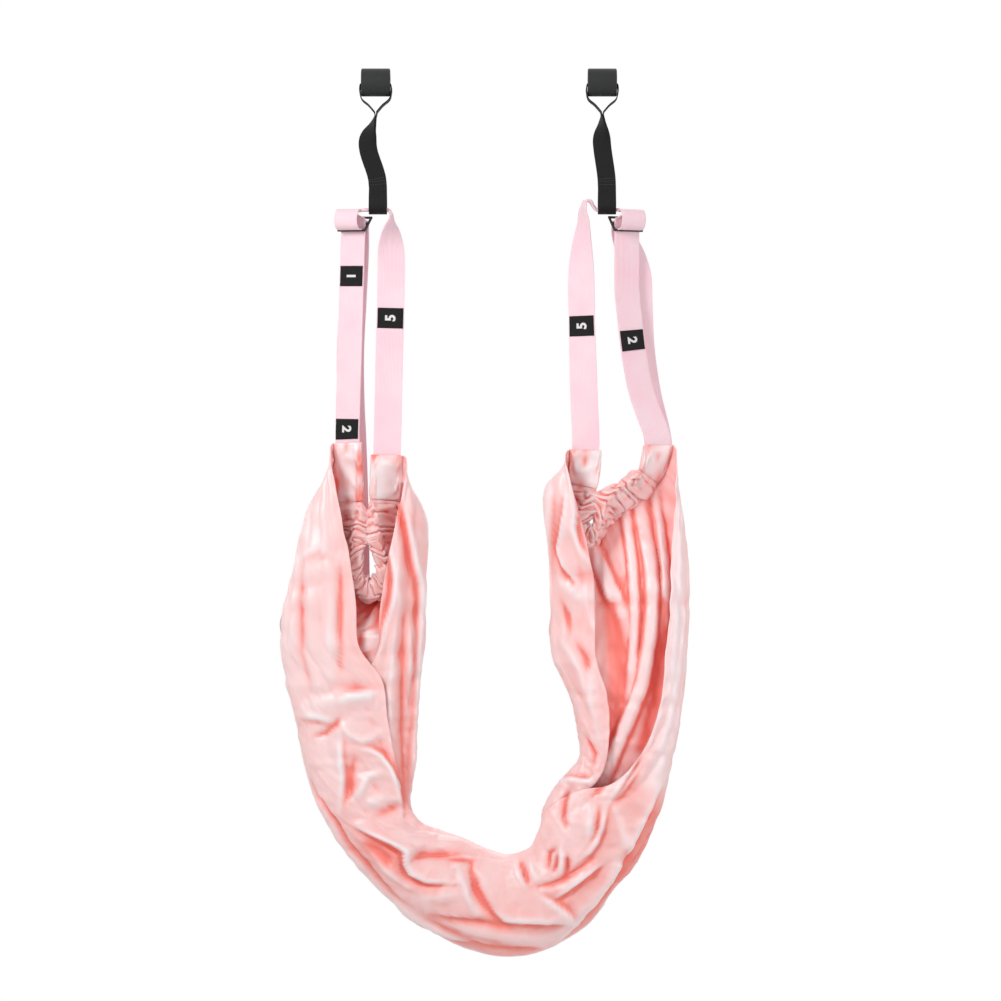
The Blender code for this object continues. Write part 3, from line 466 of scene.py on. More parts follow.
def tone_both_sides(piece, grid, outside, outer, inner):
    """Gives the two sides of a wall their own painted shade and highlight: a crest on one side is a valley
    on the other.
    """
    count = grid.shape[0] * grid.shape[1]
    spots = np.empty(len(piece.data.vertices) * 3, np.float32)
    piece.data.vertices.foreach_get("co", spots)
    off = (spots.reshape(-1, 3)[:2 * count] - np.tile(grid.reshape(-1, 3), (2, 1))) * np.tile(
        outside.reshape(-1, 3), (2, 1))
    both = np.where(off.sum(-1) > 0, np.tile(outer.ravel(), 2), np.tile(inner.ravel(), 2))
    values = np.zeros(len(piece.data.vertices), np.float32)
    values[:2 * count] = both
    piece.data.attributes["painted_shading"].data.foreach_set("value", values)
    print(piece.name, "has", len(values) - 2 * count, "vertices beside its two sides")


def give_wall(piece, thickness, edge=0.0):
    finish_with(piece, "SOLIDIFY", thickness=thickness, offset=0.0)
    if edge:
        finish_with(piece, "BEVEL", width=edge, segments=2, limit_method="ANGLE",
                    angle_limit=math.radians(50))
    piece.data.shade_smooth()
    return piece


def dress(piece, body, slot, material, *nodes):
    """The material, the body that carries the piece, and the solids that it stands for."""
    piece.data.materials.clear()
    piece.data.materials.append(material)
    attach(piece, body)
    if nodes:
        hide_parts(*nodes)
    return piece


def finish_node(name, material):
    """Gives a solid that stays its own finish."""
    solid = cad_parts[name]
    solid.data.materials.clear()
    solid.data.materials.append(material)


# %% [markdown]
# ## Webbing
#
# Polyester webbing is a tight weave of thick lengthwise yarns with a fine step across them.
# Close up it shows narrow ribs along the strap and a firm selvedge at both sides. Two waves
# on the thread map give that: one across the width and one along the length.

# %% Webbing materials
def woven(name, colour, dark, rib, step, roughness, bump, sheen, **inputs):
    """Ribs every rib metres across the strap and yarns every step metres along it."""
    made = new_material(name, colour, roughness, Sheen_Weight=sheen, Sheen_Roughness=0.4, **inputs)
    tree, shader = made.node_tree, shader_of(made)
    place = add_node(tree, "UVMap", uv_map="thread").outputs["UV"]
    split = add_node(tree, "SeparateXYZ", links={0: place})
    waves = []
    for axis, length in (("X", rib), ("Y", step)):
        turn = add_node(tree, "Math", {1: 2 * math.pi / length}, {0: split.outputs[axis]},
                        operation="MULTIPLY")
        waves.append(add_node(tree, "Math", links={0: turn.outputs[0]}, operation="SINE").outputs[0])
    weave = add_node(tree, "Math", {1: 0.45}, {0: waves[1], 2: waves[0]}, operation="MULTIPLY_ADD")
    shade = add_node(tree, "MapRange", {"From Min": -1.4, "From Max": 1.0}, {"Value": weave.outputs[0]})
    yarn = add_node(tree, "Mix", {"A": (*dark, 1), "B": (*colour, 1)},
                    {"Factor": shade.outputs["Result"]}, data_type="RGBA")
    fluff = add_node(tree, "TexNoise", {"Scale": 90, "Detail": 3}, {"Vector": place})
    tint = add_node(tree, "Mix", {"Factor": 0.05},
                    {"A": yarn.outputs["Result"], "B": fluff.outputs["Color"]},
                    data_type="RGBA", blend_type="MULTIPLY")
    # random pinker patches over the webbing
    cloud = add_node(tree, "TexNoise", {"Scale": 17, "Detail": 2}, {"Vector": place})
    blotch = add_node(tree, "MapRange", {"From Min": 0.40, "From Max": 0.68, "To Max": 0.55},
                     {"Value": cloud.outputs["Fac"]})
    pinker = (colour[0] * 0.985, colour[1] * 0.78, colour[2] * 0.84, 1)
    deeper = add_node(tree, "Mix", {"B": pinker},
                      {"Factor": blotch.outputs["Result"], "A": tint.outputs["Result"]}, data_type="RGBA")
    tree.links.new(deeper.outputs["Result"], shader.inputs["Base Color"])
    lift = add_node(tree, "Bump", {"Strength": bump, "Distance": 0.0003}, {"Height": weave.outputs[0]})
    tree.links.new(lift.outputs["Normal"], shader.inputs["Normal"])
    return made


pink_webbing = woven("pink_webbing", (0.975, 0.735, 0.795), (0.955, 0.645, 0.715),
                     0.00190, 0.00110, 0.62, 0.40, 0.15)
black_webbing = woven("black_webbing", (0.007, 0.006, 0.007), (0.002, 0.002, 0.002),
                      0.00180, 0.00120, 0.70, 0.6, 0.01, Specular_IOR_Level=0.25)
print("webbing:", pink_webbing.name, "and", black_webbing.name)

# %% [markdown]
# The strap is one closed ring of webbing. Where it passes through the black eye it is bunched
# to a third of its width, so it is laid there in small pleats across its width.

# %% Straps and tails
STRAP_COLUMNS, BUNCH_PLEATS = 15, 1.5


def strap_points(route, distances, columns, width=None, shift=0.0):
    place, _, across, face, widths, depths = route.frame(distances)
    share = np.linspace(-1, 1, columns)
    half = (widths if width is None else np.full(len(place), width)) / 2
    spare = np.maximum(depths - STRAP_THICKNESS, 0) / 2
    pleat = spare[:, None] * np.cos(2 * math.pi * BUNCH_PLEATS * share)[None, :]
    return (place[:, None, :] + across[:, None, :] * (half[:, None] * share[None, :])[..., None]
            + face[:, None, :] * (pleat + shift)[..., None])


def lay_strap(name, route, distances, closed=False):
    points = strap_points(route, distances, STRAP_COLUMNS)
    piece = lay_grid(name, points, (STRAP_WIDTH, distances[-1] - distances[0]), closed)
    return give_wall(piece, STRAP_THICKNESS, STRAP_THICKNESS * 0.22)


for side, route in (("left", left_route), ("right", right_route)):
    around = np.linspace(0, route.length, int(route.length / 0.0028))
    strap = lay_strap(f"{side}_strap_webbing", route, around, closed=True)
    dress(strap, "sling_and_straps", "pink_webbing", pink_webbing, f"{side}_strap")
    print(strap.name, len(strap.data.polygons), "faces")

# %% Tails behind the runs
def run_axes(route, distance):
    """Axes at a slider: side across the strap, rise up it, back away from the viewer."""
    place, along, _, face, _, _ = (part[0] for part in route.frame(distance))
    rise = along if along[2] > 0 else -along
    back = -face
    side = np.cross(rise, back)
    return place, side if side[0] > 0 else -side, rise, back


def height_on(route, low, high, z):
    distances = np.linspace(low, high, 4000)
    heights = route.sample(distances)[:, 2]
    return distances[np.argmin(abs(heights - z))]


left_slider_at = height_on(left_route, left_marks["run_top"], left_marks["mouth_in"], -SLIDER_DROP)
right_slider_at = height_on(right_route, right_marks["mouth_out"], right_marks["run_top"], -SLIDER_DROP)
left_axes = run_axes(left_route, left_slider_at)
right_axes = run_axes(right_route, right_slider_at)
THROUGH = [(0.0086, 0.0016), (0.0085, 0.0042), (0.0074, 0.0070), (0.0046, 0.0092), (-0.0040, 0.0103)]


def tail_route(axes, turn, rest):
    place, _, up, back = axes
    start = [station(*(place + up * rise + back * behind), turn) for rise, behind in THROUGH]
    return Route(start + rest, False)


left_tail = tail_route(left_axes, LEFT_TURN, [
    station(LEFT_X - 0.028, 0.014, -0.235, 18), station(LEFT_X - 0.032, 0.019, -0.300, 10),
    station(LEFT_X - 0.036, 0.027, -0.370, 4), station(LEFT_X - 0.036, 0.034, -0.430, 0),
    station(LEFT_X - 0.033, 0.0365, -0.500, 0), station(LEFT_X - 0.030, 0.0365, -0.600, 0),
    station(LEFT_X - 0.028, 0.0365, -0.729, 0)])
right_tail = tail_route(right_axes, RIGHT_TURN, [
    station(RIGHT_X + 0.034, 0.0120, -0.222, 157), station(RIGHT_X + 0.043, 0.0150, -0.241, 160),
    station(RIGHT_X + 0.0495, 0.0165, -0.262, 165), station(RIGHT_X + 0.0515, 0.0180, -0.300, 170),
    station(RIGHT_X + 0.055, 0.024, -0.370, 172), station(RIGHT_X + 0.064, 0.034, -0.430, 176),
    station(RIGHT_X + 0.078, 0.0365, -0.490, 180), station(RIGHT_X + 0.082, 0.0365, -0.600, 180),
    station(RIGHT_X + 0.082, 0.0365, -0.700, 180)])
for side, route in (("left", left_tail), ("right", right_tail)):
    along = np.linspace(0, route.length, int(route.length / 0.003))
    tail = lay_strap(f"{side}_tail_webbing", route, along)
    dress(tail, f"{side}_adjuster", "pink_webbing", pink_webbing, f"{side}_strap_tail")
    print(tail.name, round(route.length, 3), "m long")

# %% [markdown]
# In front of each slider the webbing stands up in a loose roll, because the strap is pushed
# back through the slot. It is laid round an ellipse that starts on the slider's lower bar.

# %% Rolls of strap at the sliders
SLIDER_BAR, SLIDER_PITCH, SLIDER_LEAN = 0.003, 0.0125, math.radians(42)
FOLD_DEPTH, FOLD_RISE, FOLD_WIDTH = 0.0095, 0.0134, 0.036


def roll_points(axes, columns=13, steps=44):
    place, side, rise, back = axes
    half = STRAP_THICKNESS / 2
    bar_rise = -SLIDER_PITCH / 2 * math.cos(SLIDER_LEAN)
    bar_corner = SLIDER_BAR / math.sqrt(2)
    front = -SLIDER_PITCH / 2 * math.sin(SLIDER_LEAN) - bar_corner - 0.0004
    lowest = bar_rise + bar_corner / 2
    centre_back = -(half + 0.0011 + half + FOLD_DEPTH)
    line = [(front, lowest)]
    for angle in np.radians(np.linspace(-90, 127, steps)):
        line.append((centre_back - FOLD_DEPTH * math.cos(angle),
                     lowest + FOLD_RISE + FOLD_RISE * math.sin(angle)))
    share = np.linspace(-0.5, 0.5, columns)
    return np.array([[place + side * FOLD_WIDTH * s + rise * up + back * behind for s in share]
                     for behind, up in line])


for side, axes in (("left", left_axes), ("right", right_axes)):
    roll = lay_grid(f"{side}_webbing_roll", roll_points(axes), (FOLD_WIDTH, 0.055))
    give_wall(roll, STRAP_THICKNESS, 0.0004)
    dress(roll, f"{side}_adjuster", "pink_webbing", pink_webbing, f"{side}_strap_fold")
    print(roll.name, len(roll.data.polygons), "faces")

# %% [markdown]
# ## Black door webbing
#
# One black band goes through each roller, down both its ends, turns a quarter and ends in a
# sewn eye. It is narrower than the pink strap and doubled, so its two plies are laid side by
# side.

# %% Anchor webbing
ROLLER_LENGTH, ROLLER_DIAMETER, NECK_DROP, TWIST_END, STEM_FOOT = 0.040, 0.0386, 0.042, 0.094, 0.148
CORE_BORE, PLY = WEB_WIDTH / 2 + 0.0012, (WEB_THICKNESS + 0.0003) / 2


def anchor_routes(anchor_x, bow, foot):
    side, bend = ROLLER_LENGTH / 2 + 0.0004 + WEB_THICKNESS / 2, 0.0016
    bore_z = -(CORE_BORE - WEB_WIDTH / 2) - WEB_THICKNESS
    right = [(side - bend * 1.2, bore_z), (side - bend * 0.3, bore_z - bend * 0.3),
             (side, bore_z - bend * 1.2), (side, -ROLLER_DIAMETER / 2 + 0.003),
             (side * 0.93, -ROLLER_DIAMETER / 2 - 0.003), (side * 0.45, -NECK_DROP + 0.010),
             (PLY + 0.0008, -NECK_DROP + 0.001)]
    web = (WEB_WIDTH, WEB_THICKNESS)
    over = Route([station(anchor_x - x, 0, z, 90, *web) for x, z in reversed(right)]
                 + [station(anchor_x + x, 0, z, 90, *web) for x, z in right], False)
    top, low, middle = -NECK_DROP - 0.004, -STEM_FOOT + 0.003, []
    for share in np.arange(9) / 8:
        z = top + share * (low - top)
        turn = 90 - 90 * float(smooth(-NECK_DROP, -TWIST_END, z))
        lean = bow * math.sin(math.pi * share ** 0.75) ** 2 + foot * float(smooth(0.25, 1.0, share))
        middle.append(station(anchor_x + lean, 0, z, turn, *web))
    radius, eye_x = EYE_RADIUS + WEB_THICKNESS / 2, anchor_x + foot
    ring = [station(eye_x, PLY, -STEM_FOOT, 0, *web)]
    for step in range(13):
        turn = math.radians(-30 + 20 * step)
        ring.append(station(eye_x, radius * math.cos(turn), EYE_Z - radius * math.sin(turn), 0, *web))
    ring.append(station(eye_x, -PLY, -STEM_FOOT, 0, *web))
    return over, Route(middle, False), Route(ring, False)


def anchor_points(routes, columns=9):
    over, stem, eye = routes
    share = np.linspace(-0.5, 0.5, columns)
    rows = []
    for route, shift, back in ((over, 0, False), (stem, -PLY, False), (eye, 0, False),
                               (stem, -PLY, True)):
        along = np.linspace(0, route.length, int(route.length / 0.0022))
        along = along[::-1] if back else along
        place, _, across, face, _, _ = route.frame(along)
        face = -face if back else face
        rows.append(place[:, None] + across[:, None] * (WEB_WIDTH * share)[None, :, None]
                    + face[:, None] * shift)
    rows.append(rows[0][:1])
    return np.concatenate(rows)


# side, place, how far the stem bows out, and how far its eye stands off
STEMS = (("left", LEFT_X, -0.0115, LEFT_FOOT), ("right", RIGHT_X, -0.001, RIGHT_FOOT))
for side, x, bow, foot in STEMS:
    points = anchor_points(anchor_routes(x, bow, foot))
    length = float(np.linalg.norm(np.diff(points[:, 4], axis=0), axis=1).sum())
    webbing = lay_grid(f"{side}_door_webbing", points, (WEB_WIDTH, length), closed=True)
    give_wall(webbing, WEB_THICKNESS, 0.0004)
    dress(webbing, f"{side}_hanger", "black_webbing", black_webbing, f"{side}_anchor_webbing")
    print(webbing.name, round(length, 3), "m of webbing")

# %% [markdown]
# ## Foam rollers
#
# Each roller is a short length of dense closed-cell foam, cut square, with its edges softened
# by use. A cylinder with a bore cut through it would be too crisp, so the ends are rounded and
# the skin gets fine pores and a faint dent.

# %% Foam material and rollers
foam = new_material("roller_foam", (0.018, 0.020, 0.019), 0.72, Sheen_Weight=0.1,
                    Specular_IOR_Level=0.3)


def add_pores(material, scale, strength, distance):
    """Small cells and soft dents in the skin, and a gloss that varies with the dents."""
    tree, shader = material.node_tree, shader_of(material)
    place = add_node(tree, "TexCoord").outputs["Object"]
    cells = add_node(tree, "TexVoronoi", {"Scale": scale}, {"Vector": place})
    soft = add_node(tree, "TexNoise", {"Scale": scale / 12, "Detail": 4}, {"Vector": place})
    both = add_node(tree, "Math", {1: 1.6}, {0: soft.outputs["Fac"], 2: cells.outputs["Distance"]},
                    operation="MULTIPLY_ADD")
    bump = add_node(tree, "Bump", {"Strength": strength, "Distance": distance}, {"Height": both.outputs[0]})
    tree.links.new(bump.outputs["Normal"], shader.inputs["Normal"])
    tone = add_node(tree, "MapRange", {"To Min": 0.62, "To Max": 0.82}, {"Value": soft.outputs["Fac"]})
    tree.links.new(tone.outputs["Result"], shader.inputs["Roughness"])


add_pores(foam, 900, 0.35, 0.0004)
for side, x in (("left", LEFT_X), ("right", RIGHT_X)):
    low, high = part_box(f"{side}_foam_roller")
    bore = CORE_BORE + 0.0016 + 0.0003
    deselect()
    bpy.ops.mesh.primitive_cylinder_add(vertices=72, radius=ROLLER_DIAMETER / 2, depth=ROLLER_LENGTH,
                                        location=(x, 0, 0), rotation=(0, math.pi / 2, 0))
    roller = bpy.context.object
    roller.name = f"{side}_foam_roll"
    bpy.ops.object.transform_apply(location=True, rotation=True, scale=True)
    bpy.ops.object.mode_set(mode="EDIT")
    bpy.ops.mesh.select_mode(type="FACE")
    bpy.ops.mesh.select_all(action="DESELECT")
    bpy.ops.object.mode_set(mode="OBJECT")
    for face in roller.data.polygons:
        face.select = abs(face.normal.x) > 0.9
    bpy.ops.object.mode_set(mode="EDIT")
    bpy.ops.mesh.inset(thickness=ROLLER_DIAMETER / 2 - bore, depth=0)
    bpy.ops.mesh.bridge_edge_loops()
    bpy.ops.object.mode_set(mode="OBJECT")
    finish_with(roller, "BEVEL", width=0.0026, segments=5, limit_method="ANGLE",
                angle_limit=math.radians(60))
    roller.data.shade_smooth()
    dress(roller, "door_anchors", "roller_foam", foam, f"{side}_foam_roller")
    print(roller.name, [round(v, 4) for v in roller.dimensions], "solid", [round(v, 4) for v in high - low])

core = new_material("core_plastic", (0.22, 0.22, 0.23), 0.42)
add_pores(core, 300, 0.05, 0.0002)
for side in ("left", "right"):
    finish_node(f"{side}_core_tube", core)

# %% [markdown]
# ## Sliders
#
# The sliders are moulded in black plastic with a satin skin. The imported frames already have
# their three bars and two slots, so they only get their finish.

# %% Slider plastic
slider_plastic = new_material("slider_plastic", (0.020, 0.014, 0.016), 0.32, Coat_Weight=0.15)
add_pores(slider_plastic, 500, 0.06, 0.0002)
for side in ("left", "right"):
    finish_node(f"{side}_slider", slider_plastic)
print("both sliders finished in", slider_plastic.name)

# %% [markdown]
# ## Number patches
#
# The patches are woven labels, black with a pale digit that lies on its side, folded under
# and sewn at the top and bottom edge. Each follows the strap, so it is a small grid with a
# raised hem, and its digit is a text turned to a mesh.

# %% Patches and digits
PATCH_WIDTH, PATCH_HEIGHT, PATCH_THICKNESS, PATCH_PITCH = 0.0355, 0.028, 0.0005, 0.2115
PATCH_SHIFT = STRAP_THICKNESS / 2 + 0.0003 + PATCH_THICKNESS / 2
patch_black = woven("patch_black", (0.010, 0.009, 0.010), (0.004, 0.004, 0.004),
                    0.0006, 0.0006, 0.7, 0.25, 0.05, Specular_IOR_Level=0.2)
digit_white = woven("digit_white", (0.86, 0.86, 0.85), (0.62, 0.62, 0.62),
                    0.0005, 0.0005, 0.7, 0.3, 0.2)


def lay_digit(name, route, middle, body, digit):
    """A plain digit, laid on its side on the face of its label."""
    place, rise, _, outward, _, _ = (part[0] for part in route.frame(middle))
    up = rise if rise[2] > 0 else -rise
    right = np.cross(up, outward)
    deselect()
    bpy.ops.object.text_add()
    text = bpy.context.object
    text.data.body = str(digit)
    text.data.size = 0.0190
    text.data.extrude = 0.00012
    text.data.offset = 0.0007
    text.data.align_x = text.data.align_y = "CENTER"
    bpy.ops.object.convert(target="MESH")
    text = bpy.context.object
    text.name = text.data.name = name
    level = place + outward * (PATCH_SHIFT + PATCH_THICKNESS / 2 + 0.00015)
    spot = np.array([vertex.co for vertex in text.data.vertices])
    spot[:, :2] -= (spot[:, :2].max(0) + spot[:, :2].min(0)) / 2
    # the first two labels are sewn on the other way round
    reading, tall = (-up, right) if digit < 3 else (up, -right)
    moved = level + spot[:, :1] * reading + spot[:, 1:2] * tall + spot[:, 2:] * outward
    text.data.vertices.foreach_set("co", moved.astype(np.float32).ravel())
    layers = text.data.uv_layers
    layer = layers[0] if layers else layers.new(name="thread")
    layer.name = "thread"
    loops = np.array([loop.vertex_index for loop in text.data.loops])
    layer.data.foreach_set("uv", spot[loops, :2].astype(np.float32).ravel())
    text.data.update()
    dress(text, body, "patch_black", digit_white)


def lay_patch(side, number, route, middle, body="sling_and_straps"):
    name = f"{side}_label_{number}"
    along = np.linspace(middle - PATCH_HEIGHT / 2, middle + PATCH_HEIGHT / 2, 25)
    points = strap_points(route, along, 9, PATCH_WIDTH, PATCH_SHIFT)
    _, _, _, face, _, _ = route.frame(along)
    hem = np.exp(-((np.abs(along - middle) - PATCH_HEIGHT * 0.40) / 0.0011) ** 2)
    points += (face * (0.00025 * hem)[:, None])[:, None, :]
    piece = lay_grid(name, points, (PATCH_WIDTH, PATCH_HEIGHT))
    give_wall(piece, PATCH_THICKNESS)
    dress(piece, body, "patch_black", patch_black, f"{side}_patch_{number}")
    lay_digit(name + "_digit", route, middle, body, number)


left_first = height_on(left_route, left_marks["run_top"], left_marks["mouth_in"], MOUTH_Z + 0.2304)
right_first = height_on(right_route, right_route.station_at[6], right_marks["mouth_in"], MOUTH_Z + 0.1614)
for side, route, first, numbers in (("left", left_route, left_first, (1, 2, 3, 4, 5)),
                                    ("right", right_route, right_first, (5, 4, 3, 2))):
    for index, number in enumerate(numbers):
        lay_patch(side, number, route, first + index * PATCH_PITCH)
lay_patch("right", 1, right_tail, 0.062, "right_adjuster")
print("labels every", PATCH_PITCH, "m")

# %% [markdown]
# ## Satin stretch cloth
#
# The sling is a knitted cloth with a satin face. It is nearly white on the crests of its
# folds and deep coral in the valleys, because light that bounces from pink to pink grows
# redder each time. A few bounces in the render show only part of that, so that light is painted
# into the colour: the mesh carries an attribute of painted shade and painted highlight, from
# how deep each place lies and from the traced folds, and the colour follows it. The
# gloss runs along the threads: a broad sheen, not a mirror.

# %% Satin material
# painted highlight for the crests, the cloth's own pink, and painted shade for the valleys
HIGHLIGHT_PINK, MIDDLE_PINK = (0.995, 0.80, 0.82, 1), (0.990, 0.570, 0.560, 1)
SHADE_CORAL = (0.95, 0.19, 0.15, 1)


def satin_cloth():
    made = new_material("pink_satin", (0.97, 0.56, 0.53), 0.32, Specular_IOR_Level=0.8,
                        Anisotropic=0.35, Sheen_Weight=0.20, Sheen_Roughness=0.30,
                        Sheen_Tint=(1.0, 0.86, 0.86, 1), Subsurface_Weight=0.25,
                        Subsurface_Radius=(0.020, 0.004, 0.003), Subsurface_Scale=0.35)
    tree, shader = made.node_tree, shader_of(made)
    place = add_node(tree, "UVMap", uv_map="thread").outputs["UV"]
    tangent = add_node(tree, "Tangent", direction_type="UV_MAP", uv_map="thread")
    tree.links.new(tangent.outputs[0], shader.inputs["Tangent"])
    knit = add_node(tree, "TexNoise", {"Scale": 700, "Detail": 2}, {"Vector": place})
    cloud = add_node(tree, "TexNoise", {"Scale": 22, "Detail": 4, "Roughness": 0.55}, {"Vector": place})
    gloss = add_node(tree, "MapRange", {"To Min": 0.34, "To Max": 0.50}, {"Value": cloud.outputs["Fac"]})
    tree.links.new(gloss.outputs["Result"], shader.inputs["Roughness"])
    # the base colour follows the painted shade and painted highlight stored on the mesh
    valley = add_node(tree, "Attribute", attribute_name="painted_shading")
    drift = add_node(tree, "MapRange", {"From Min": 0.3, "From Max": 0.7, "To Min": -0.12, "To Max": 0.12},
                     {"Value": cloud.outputs["Fac"]})
    level = add_node(tree, "Math", links={0: valley.outputs["Fac"], 1: drift.outputs["Result"]})
    fit = add_node(tree, "MapRange", {"From Min": -1.0, "From Max": 1.0}, {"Value": level.outputs[0]})
    tone = add_node(tree, "ValToRGB", links={"Fac": fit.outputs["Result"]})
    stops = tone.color_ramp.elements
    stops[0].position, stops[0].color = 0.0, HIGHLIGHT_PINK
    stops[1].position, stops[1].color = 1.0, SHADE_CORAL
    stops.new(0.5).color = MIDDLE_PINK
    tree.links.new(tone.outputs["Color"], shader.inputs["Base Color"])
    small = add_node(tree, "Bump", {"Strength": 0.12, "Distance": 0.0002}, {"Height": knit.outputs["Fac"]})
    stretch = add_node(tree, "Mapping", {"Scale": (1.0, 0.45, 1.0)}, {"Vector": place})
    creased = add_node(tree, "TexNoise", {"Scale": 34, "Detail": 2.5, "Roughness": 0.5, "Distortion": 0.8},
                       {"Vector": stretch.outputs["Vector"]}, noise_type="RIDGED_MULTIFRACTAL")
    crease = add_node(tree, "Bump", {"Strength": 0.45, "Distance": 0.0022},
                      {"Height": creased.outputs["Fac"], "Normal": small.outputs["Normal"]})
    tree.links.new(crease.outputs["Normal"], shader.inputs["Normal"])
    return made


pink_satin = satin_cloth()
print(pink_satin.name, "has", len(pink_satin.node_tree.nodes), "nodes")

# %% [markdown]
# ## Sleeves and gathered casings
#
# At each corner of the sling a plain flat sleeve leads the webbing in. Between the sleeves
# the end of the cloth is a tunnel three times as long as the strap inside it, so it stands in
# crumpled ruffles. A ruffle is a pleat that goes round the tunnel: it is high on the outside,
# its neighbours differ, and it leans.

# %% Tunnels round the straps
SLEEVE_WALL, TUNNEL_HALF_WIDTH = 0.0012, STRAP_WIDTH / 2 + 0.0022
TUNNEL_HALF_DEPTH = STRAP_THICKNESS / 2 + PATCH_THICKNESS + 0.0003 + 0.0011
RUFFLE_PITCH = 0.0165
CLOTH_WALL = 0.0009


def crumple(points, size, seed):
    """Soft noise between about -1 and 1 at each point."""
    flat = (points / size + seed * 7.31).reshape(-1, 3)
    return np.array([noise.noise(Vector(p)) for p in flat]).reshape(points.shape[:-1])


def rounded_ring(sides):
    """Angles round a tunnel, and how far across and out of the strap's face each one stands."""
    angle = np.linspace(0, 2 * math.pi, sides + 1)
    across, out = (np.sign(part) * np.sqrt(np.abs(part)) for part in (np.cos(angle), np.sin(angle)))
    return angle, across, out


def tunnel_points(route, start, end, ruffled, seed, sides=56):
    count = int((end - start) / (0.0011 if ruffled else 0.003)) + 2
    along = np.linspace(start, end, count)
    place, forward, across, face, _, _ = route.frame(along)
    angle, a, b = rounded_ring(sides)
    half_width = np.full((count, sides + 1), TUNNEL_HALF_WIDTH + SLEEVE_WALL / 2)
    half_depth = np.full((count, sides + 1), TUNNEL_HALF_DEPTH + SLEEVE_WALL / 2)
    ring = np.stack(np.broadcast_arrays(np.cos(angle)[None, :] * 0.020, np.sin(angle)[None, :] * 0.012,
                                        along[:, None]), axis=-1)
    ends = (smooth(0, 0.010, along - start) * smooth(0, 0.010, end - along))[:, None]
    if ruffled:
        wander = crumple(ring, 0.016, seed) * 1.15 + crumple(ring, 0.006, seed + 1) * 0.25
        pleat = np.abs(np.sin(math.pi * (along[:, None] / RUFFLE_PITCH * 1.15 + wander)))
        pleat = pleat ** 0.8 * (0.75 + 0.5 * crumple(ring, 0.021, seed + 2))
        pleat = np.clip(pleat, -0.1, 1.25) * ends
        half_width = half_width + pleat * 0.0040 - 0.0006
        half_depth = half_depth + pleat * 0.0085 - 0.0006
        # the cloth bunches towards the middle of the U, most at its lowest point
        lowest = along[np.argmin(place[:, 2])]
        inward = place.mean(axis=0) + (0, 0, 0.012) - place
        inward = unit(inward * (1, 0, 1))[:, None]
        radial = unit(across[:, None] * a[:, None] + face[:, None] * b[:, None])
        stuffed = 0.0095 + 0.0050 * np.exp(-((along - lowest) / 0.035) ** 2)[:, None]
        bulge = smooth(0.0, 0.8, (radial * inward).sum(-1)) * ends * stuffed * (0.6 + 0.7 * pleat)
        bulge = inward * bulge[..., None]
        slide = crumple(ring, 0.010, seed + 3) * 0.0022 * ends
    else:
        sag = crumple(ring, 0.020, seed)
        fold = np.maximum(1 - 3.2 * np.abs(crumple(ring * (1.5, 1.5, 0.6), 0.016, seed + 7)), 0) * ends
        half_width = half_width + 0.0006 * sag + 0.0006 * fold
        half_depth = half_depth + 0.0017 * np.maximum(sag, -0.4) + 0.0026 * fold
        slide = np.zeros_like(half_width)
        bulge = 0.0
    return (place[:, None] + across[:, None] * (a * half_width)[..., None]
            + face[:, None] * (b * half_depth)[..., None] + forward[:, None] * slide[..., None]
            + bulge)


def lay_tunnel(name, route, start, end, ruffled, seed, node):
    points = tunnel_points(route, start, end, ruffled, seed)
    outward = unit(points - points[:, :-1].mean(axis=1, keepdims=True))
    if ruffled:
        # painted shade in the ruffles' valleys and a little over all of them, painted highlight on their
        # crests
        valley = hollow_of(points, outward, 3, 0.0001, 0.0012)
        crest = hollow_of(points, -outward, 3, 0.0002, 0.0016)
        painted_shading = np.minimum(valley * 1.3 - 0.50 * crest + 0.28, 1.0)
    else:
        # painted shade in the sleeves' valleys and painted highlight on their crests, over random pale and
        # coral patches
        valley = hollow_of(points, outward, 3, 0.0000, 0.0009)
        crest = hollow_of(points, -outward, 3, 0.0001, 0.0012)
        clouds = crumple(points * (1, 1, 0.55), 0.017, seed + 6)
        painted_shading = np.clip(1.7 * clouds + 0.8 * valley - 0.6 * crest, -0.8, 1)
    piece = lay_grid(name, points, (0.10, end - start))
    mark_hollows(piece, painted_shading)
    close_seam(piece)
    give_wall(piece, CLOTH_WALL)
    dress(piece, "sling_and_straps", "pink_satin", pink_satin, node)
    return piece


def area_of(piece, walls=2):
    return sum(face.area for face in piece.data.polygons) / walls


for side, route, marks, first, last, seed in (
        ("left", left_route, left_marks, "outer", "inner", 1),
        ("right", right_route, right_marks, "inner", "outer", 4)):
    start, end = marks["mouth_in"], marks["mouth_out"]
    low, high = start + marks["sleeve_in"], end - marks["sleeve_out"]
    lay_tunnel(f"{side}_{first}_corner_sleeve", route, start, low, False, seed, f"{side}_{first}_sleeve")
    casing = lay_tunnel(f"{side}_ruffled_casing", route, low + 0.0003, high - 0.0003, True, seed + 9,
                        f"{side}_casing")
    lay_tunnel(f"{side}_{last}_corner_sleeve", route, high, end, False, seed + 5, f"{side}_{last}_sleeve")
    print(casing.name, len(casing.data.polygons), "faces,", round(area_of(casing), 3), "m2 of cloth")

# %% [markdown]
# ## The sling
#
# One sheet runs from casing to casing. Below each casing it falls as a trough whose long
# edges lap at the front, turns through the belly and climbs to the other casing. The trough
# is told by ribs, as a boat is: each rib has an outer and an inner side, a depth, the way that
# its opening looks, and how far its back wall stands behind its sides. Where that share is
# below nothing, the back wall is drawn in to the front and the trough is a flat pocket.

